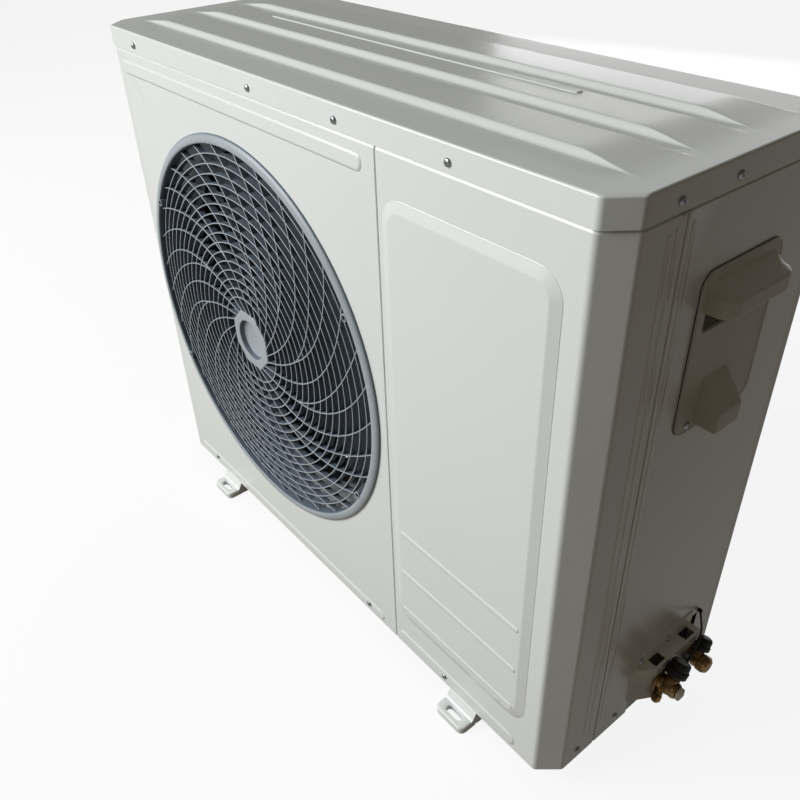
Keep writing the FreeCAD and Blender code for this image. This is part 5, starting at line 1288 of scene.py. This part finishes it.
# %% Screw head
head_form = Form()
turn_profile(head_form, [(0, 0), (4.1, 0), (4.4, 0.3), (4.4, 0.8), (3.9, 1.7), (2.8, 2.35), (1.4, 2.6),
                         (0, 2.6)], (0, 0, 0), (0, 0, 1), 32)
cut_form = Form()
for turn in (0, 90):
    spin = Matrix.Rotation(math.radians(turn), 3, "Z")
    cut_form.solid([[spin @ Vector((a * reach, b * half, z)) for a, b in ((-1, -1), (1, -1), (1, 1), (-1, 1))]
                    for z, reach, half in ((0.9, 1.0, 0.3), (3.2, 2.5, 0.55))])
head_blank = add_object("screw_head_blank", mesh_of(head_form, "screw_head_blank"))
recess_tool = add_object("screw_recess_tool", mesh_of(cut_form, "screw_recess_tool"))
modify(head_blank, "recess", "BOOLEAN", operation="DIFFERENCE", solver="EXACT", use_self=True,
       object=recess_tool)
bpy.context.view_layer.update()
cut_head = head_blank.evaluated_get(bpy.context.evaluated_depsgraph_get()).to_mesh()
head_points = [v.co / MM for v in cut_head.vertices]
head_faces = [list(p.vertices) for p in cut_head.polygons]
bpy.data.objects.remove(head_blank)
bpy.data.objects.remove(recess_tool)
print("screw head:", len(head_faces), "faces")

# %% Screws in place
hands = random.Random(7)


def screws(name, places, node, shank=0.0):
    """Screw heads at places of (point, way), all in one piece."""
    form = Form()
    for point, way in places:
        way = Vector(way).normalized()
        spin = way.to_track_quat("Z", "Y").to_matrix() @ Matrix.Rotation(hands.uniform(0, 1.6), 3, "Z")
        form.add([spin @ p + Vector(point) for p in head_points], head_faces)
        if shank:
            turn_profile(form, [(0.0, -shank), (1.6, -shank), (2.0, -shank + 1.0), (2.0, 0.2), (0.0, 0.2)],
                         point, way, 16)
    make(form, name, zinc, [node], sharp=35)


def front_row(y, z, columns):
    """Places on a front face, at distances from the casing's left end."""
    return [((left + x, y, z), (0, -1, 0)) for x in columns]


def side_row(x, z, columns):
    """Places on a right-hand face, at distances from the casing's front."""
    return [((x, front + y, z), (1, 0, 0)) for y in columns]


lid_screw_z = skirt_low + 11.0
low_screw_z = base + 16.3
screws("cover_screw_heads", front_row(front - lid_margin, lid_screw_z, (95.4, 404.6, 576.0, 750.0))
       + side_row(right + lid_margin, lid_screw_z, (71.7, 153.0)), "cover_screws")
screws("bottom_screw_heads", front_row(front - 1.2, low_screw_z, (105.4, 576.0, 747.7))
       + side_row(right, low_screw_z, (55.0, 130.0)), "bottom_screws")
screws("guard_screw_heads", [((guard_x + a, front - 0.4, guard_z + b), (0, -1, 0)) for a, b in boss_places],
       "guard_screws", 6.0)
screws("cable_cover_screw_head", [((plate_face, cover_low.y + 20.0, cover_low.z + 15.5), (1, 0, 0))],
       "cable_cover_screw")
screws("bracket_screw_heads", side_row(right + 1.5, base + 102.7, (165.0, 220.6)), "bracket_screws")

# %% [markdown]
# Two pressed channels carry the machine. Under the base pan each is a plain channel. In front and behind it
# is drawn down to an ear with round corners and a long slot for the anchor bolt. The ear is a stack of
# rounded outlines that turns inwards at the top and ends at the rim of the slot.

# %% Feet
ear_top = base - 14.0
ear_inner = front + 6.0
slot_line = front - 15.5
slot_half_x = 13.5
slot_half_y = 5.5
foot_wall = 2.0


def ear_rings(low, high, way):
    """The rounded plate of an ear, from its foot up and down again round the slot; way 1 is the front."""
    middle = (low.x + high.x) / 2
    plate = (low.x, high.x, low.y, ear_inner, 9.0)
    slot = (middle - slot_half_x, middle + slot_half_x, slot_line - slot_half_y, slot_line + slot_half_y, 5.4)
    outlines = [(plate, 0.0, low.z), (plate, 0.0, ear_top - 2.8), (plate, 0.3, ear_top - 1.5),
                (plate, 1.1, ear_top - 0.5), (plate, 2.6, ear_top), (slot, -0.9, ear_top),
                (slot, -0.3, ear_top - 0.3), (slot, 0.0, ear_top - 0.9), (slot, 0.0, low.z + 2.0)]
    return [[(x, y * way, z) for x, y in round_rectangle(*outline, inset)] for outline, inset, z in outlines]


def foot(name):
    """One channel with its two ears and the sloping necks between them."""
    low, high = planes(name)
    form = Form()
    inner_top = base - foot_wall
    channel = [(low.x, low.z), (low.x, base), (high.x, base), (high.x, low.z), (high.x - foot_wall, low.z),
               (high.x - foot_wall, inner_top), (low.x + foot_wall, inner_top), (low.x + foot_wall, low.z)]
    form.solid([[(x, y, z) for x, z in channel] for y in (front + 2.0, back - 2.0)])
    neck = [(front - 8.6, ear_top - 0.2), (front - 6.4, ear_top + 0.9), (front - 4.6, ear_top + 3.0),
            (front - 0.6, base - 3.0), (front + 1.0, base - 0.8), (front + 3.0, base),
            (front + 3.0, low.z + 4.0), (front - 8.6, low.z + 4.0)]
    for way in (1, -1):
        form.skin(ear_rings(low, high, way))
        form.solid([at_x(x, [(y * way, z) for y, z in neck]) for x in (low.x + 0.2, high.x - 0.2)])
    make(form, name + "_pressed", paint, [name], bevel=0.6, sharp=48)


foot("foot_rail_left")
foot("foot_rail_right")

# %% [markdown]
# The pieces that keep their CAD shape are folded or cast parts whose outline is already right. They get a
# small bevel, so that their edges catch light, and the finish of their real material.

# %% Finishes of the CAD pieces
node_finish = {
    "base_pan": (paint_inside, 0.5), "partition_plate": (galvanised, 0.4), "motor_bracket": (galvanised, 0.4),
    "coil_end_plates": (galvanised, 0.4), "electrical_box": (galvanised, 0.4),
    "control_board": (board, 0.3), "heat_sink": (cast_fins, 0.3), "terminal_block": (block_plastic, 0.4),
    "terminal_cover": (black_plastic, 0.8), "valve_bracket": (bracket_paint, 0.5),
    "compressor": (vessel_black, 1.0), "compressor_foot": (vessel_black, 0.5),
    "accumulator": (vessel_black, 1.0), "liquid_receiver": (vessel_black, 1.0),
    "filter_drier": (drier_green, 1.0), "compressor_grommets": (rubber, 0.6),
    "compressor_studs": (zinc, 0.3), "suction_pipe": (copper, 0.4), "discharge_pipe": (copper, 0.3),
    "liquid_pipe": (copper, 0.3), "coil_bends": (copper, 0.3), "coil_header": (copper, 0.3),
    "capacitors": (sleeve, 0.4),
}


def dress_node(name, material, edge):
    """Gives a CAD node its finish and a fine rounded edge; its own mesh isn't touched."""
    piece = nodes[name]
    piece.data.materials.clear()
    piece.data.materials.append(material)
    modify(piece, "weld", "WELD", merge_threshold=0.01 * MM)
    modify(piece, "flat", "DECIMATE", decimate_type="DISSOLVE", angle_limit=math.radians(1.0))
    round_edges(piece, edge, 35)


for name, (material, edge) in node_finish.items():
    dress_node(name, material, edge)
left_plain = [name for name, piece in nodes.items() if not piece.hide_render and name not in node_finish]
print("dressed nodes:", len(node_finish), "left plain:", left_plain)

# %% [markdown]
# The floor is one large pale plane. It looks nearly white to the camera and in reflections, so the
# background stays white without more light on the object, and its diffuse share keeps the contact shadow.

# %% Floor
def combine(tree, operation, first, second):
    """A Math node of two outputs or numbers."""
    step = tree.nodes.new("ShaderNodeMath")
    step.operation = operation
    feed(tree, step, {0: first, 1: second})
    return step.outputs[0]


def mix_surface(tree, share, first, second, end):
    """Blends two shaders by a share and hands them to the output node."""
    mixed = add_node(tree, "ShaderNodeMixShader", {0: share, 1: first.outputs[0], 2: second.outputs[0]})
    feed(tree, tree.nodes[end], {"Surface": mixed.outputs[0]})


floor_material = bpy.data.materials.new("pale_floor")
floor_material.use_nodes = True
floor_tree = floor_material.node_tree
path = floor_tree.nodes.new("ShaderNodeLightPath").outputs
seen = path["Is Camera Ray"]
warm_bounce = (0.165, 0.128, 0.083, 1.0)
floor_colour = blend_colours(floor_tree, seen, warm_bounce, (0.93, 0.93, 0.92, 1.0))
floor_shader = floor_tree.nodes["Principled BSDF"]
feed(floor_tree, floor_shader, {"Base Color": floor_colour, "Roughness": 0.9, "Specular IOR Level": 0.1})
glow = add_node(floor_tree, "ShaderNodeEmission", {"Color": (1, 1, 1, 1), "Strength": 1.0})
mirrored = combine(floor_tree, "MULTIPLY", path["Is Glossy Ray"], 0.35)
glow_share = combine(floor_tree, "MULTIPLY", combine(floor_tree, "MAXIMUM", seen, mirrored), 0.88)
mix_surface(floor_tree, glow_share, floor_shader, glow, "Material Output")
half_floor = 30.0
floor_mesh = bpy.data.meshes.new("floor")
floor_mesh.from_pydata(at_z(0, [(-half_floor, -half_floor), (half_floor, -half_floor),
                                (half_floor, half_floor), (-half_floor, half_floor)]), [], [(0, 1, 2, 3)])
floor_mesh.materials.append(floor_material)
add_object("floor", floor_mesh)

# %% [markdown]
# The light is soft: one large lamp like a window in front and to the left, a weaker one behind, and a faint
# warm sky. The camera sees that sky as plain white.

# %% World
world = bpy.data.worlds.new("studio")
bpy.context.scene.world = world
world.use_nodes = True
world_tree = world.node_tree
sky = world_tree.nodes["Background"]
feed(world_tree, sky, {"Color": (1.0, 0.895, 0.72, 1), "Strength": 0.09})
white = add_node(world_tree, "ShaderNodeBackground", {"Color": (1, 1, 1, 1), "Strength": 1.0})
world_seen = world_tree.nodes.new("ShaderNodeLightPath").outputs["Is Camera Ray"]
mix_surface(world_tree, world_seen, sky, white, "World Output")
print("world:", world.name, "floor:", 2 * half_floor, "m across")


# %% Lamps
def soft_lamp(name, place, target, size, watts, colour):
    """A large square lamp that looks at a point; places in metres."""
    data = bpy.data.lights.new(name, "AREA")
    data.shape = "RECTANGLE"
    data.size = size[0]
    data.size_y = size[1]
    data.energy = watts
    data.color = colour
    lamp = add_object(name, data)
    lamp.location = place
    lamp.rotation_euler = (Vector(target) - Vector(place)).to_track_quat("-Z", "Y").to_euler()


soft_lamp("front_window", (-1.7, -2.95, 2.25), (0, -0.15, 0.45), (3.0, 2.2), 172, (0.955, 0.985, 1.0))
soft_lamp("back_fill", (-1.1, 3.4, 0.85), (0, 0.15, 0.4), (3.2, 1.1), 56, (0.97, 0.98, 1.0))

# %% [markdown]
# The camera stands where the photo was taken from. Its place, its direction and its lens were fitted to the
# casing's edges, the screw rows, the guard's rings and the feet.

# %% Camera
camera_data = bpy.data.cameras.new("camera")
camera = add_object("camera", camera_data)
camera_right = Vector((0.63031, 0.77568, -0.03202))
camera_down = Vector((0.42936, -0.38267, -0.81806))
camera_forward = Vector((-0.64681, 0.50188, -0.57425))
turn = Matrix((camera_right, -camera_down, -camera_forward)).transposed()
camera.matrix_world = Matrix.Translation((0.8119, -0.6508, 1.0330)) @ turn.to_4x4()
camera_data.lens = 37.2
camera_data.sensor_width = 36.0
camera_data.shift_x = 0.0064
camera_data.shift_y = -0.0095
camera_data.clip_start = 0.02
bpy.context.scene.camera = camera
bpy.context.scene.view_settings.view_transform = "Standard"
print("camera looks along", tuple(camera_forward), "lens", round(camera_data.lens, 1), "mm")

# %% [markdown]
# The last cell prints how many pieces were made.

# %% Pieces made
print("pieces made:", len(made_pieces))
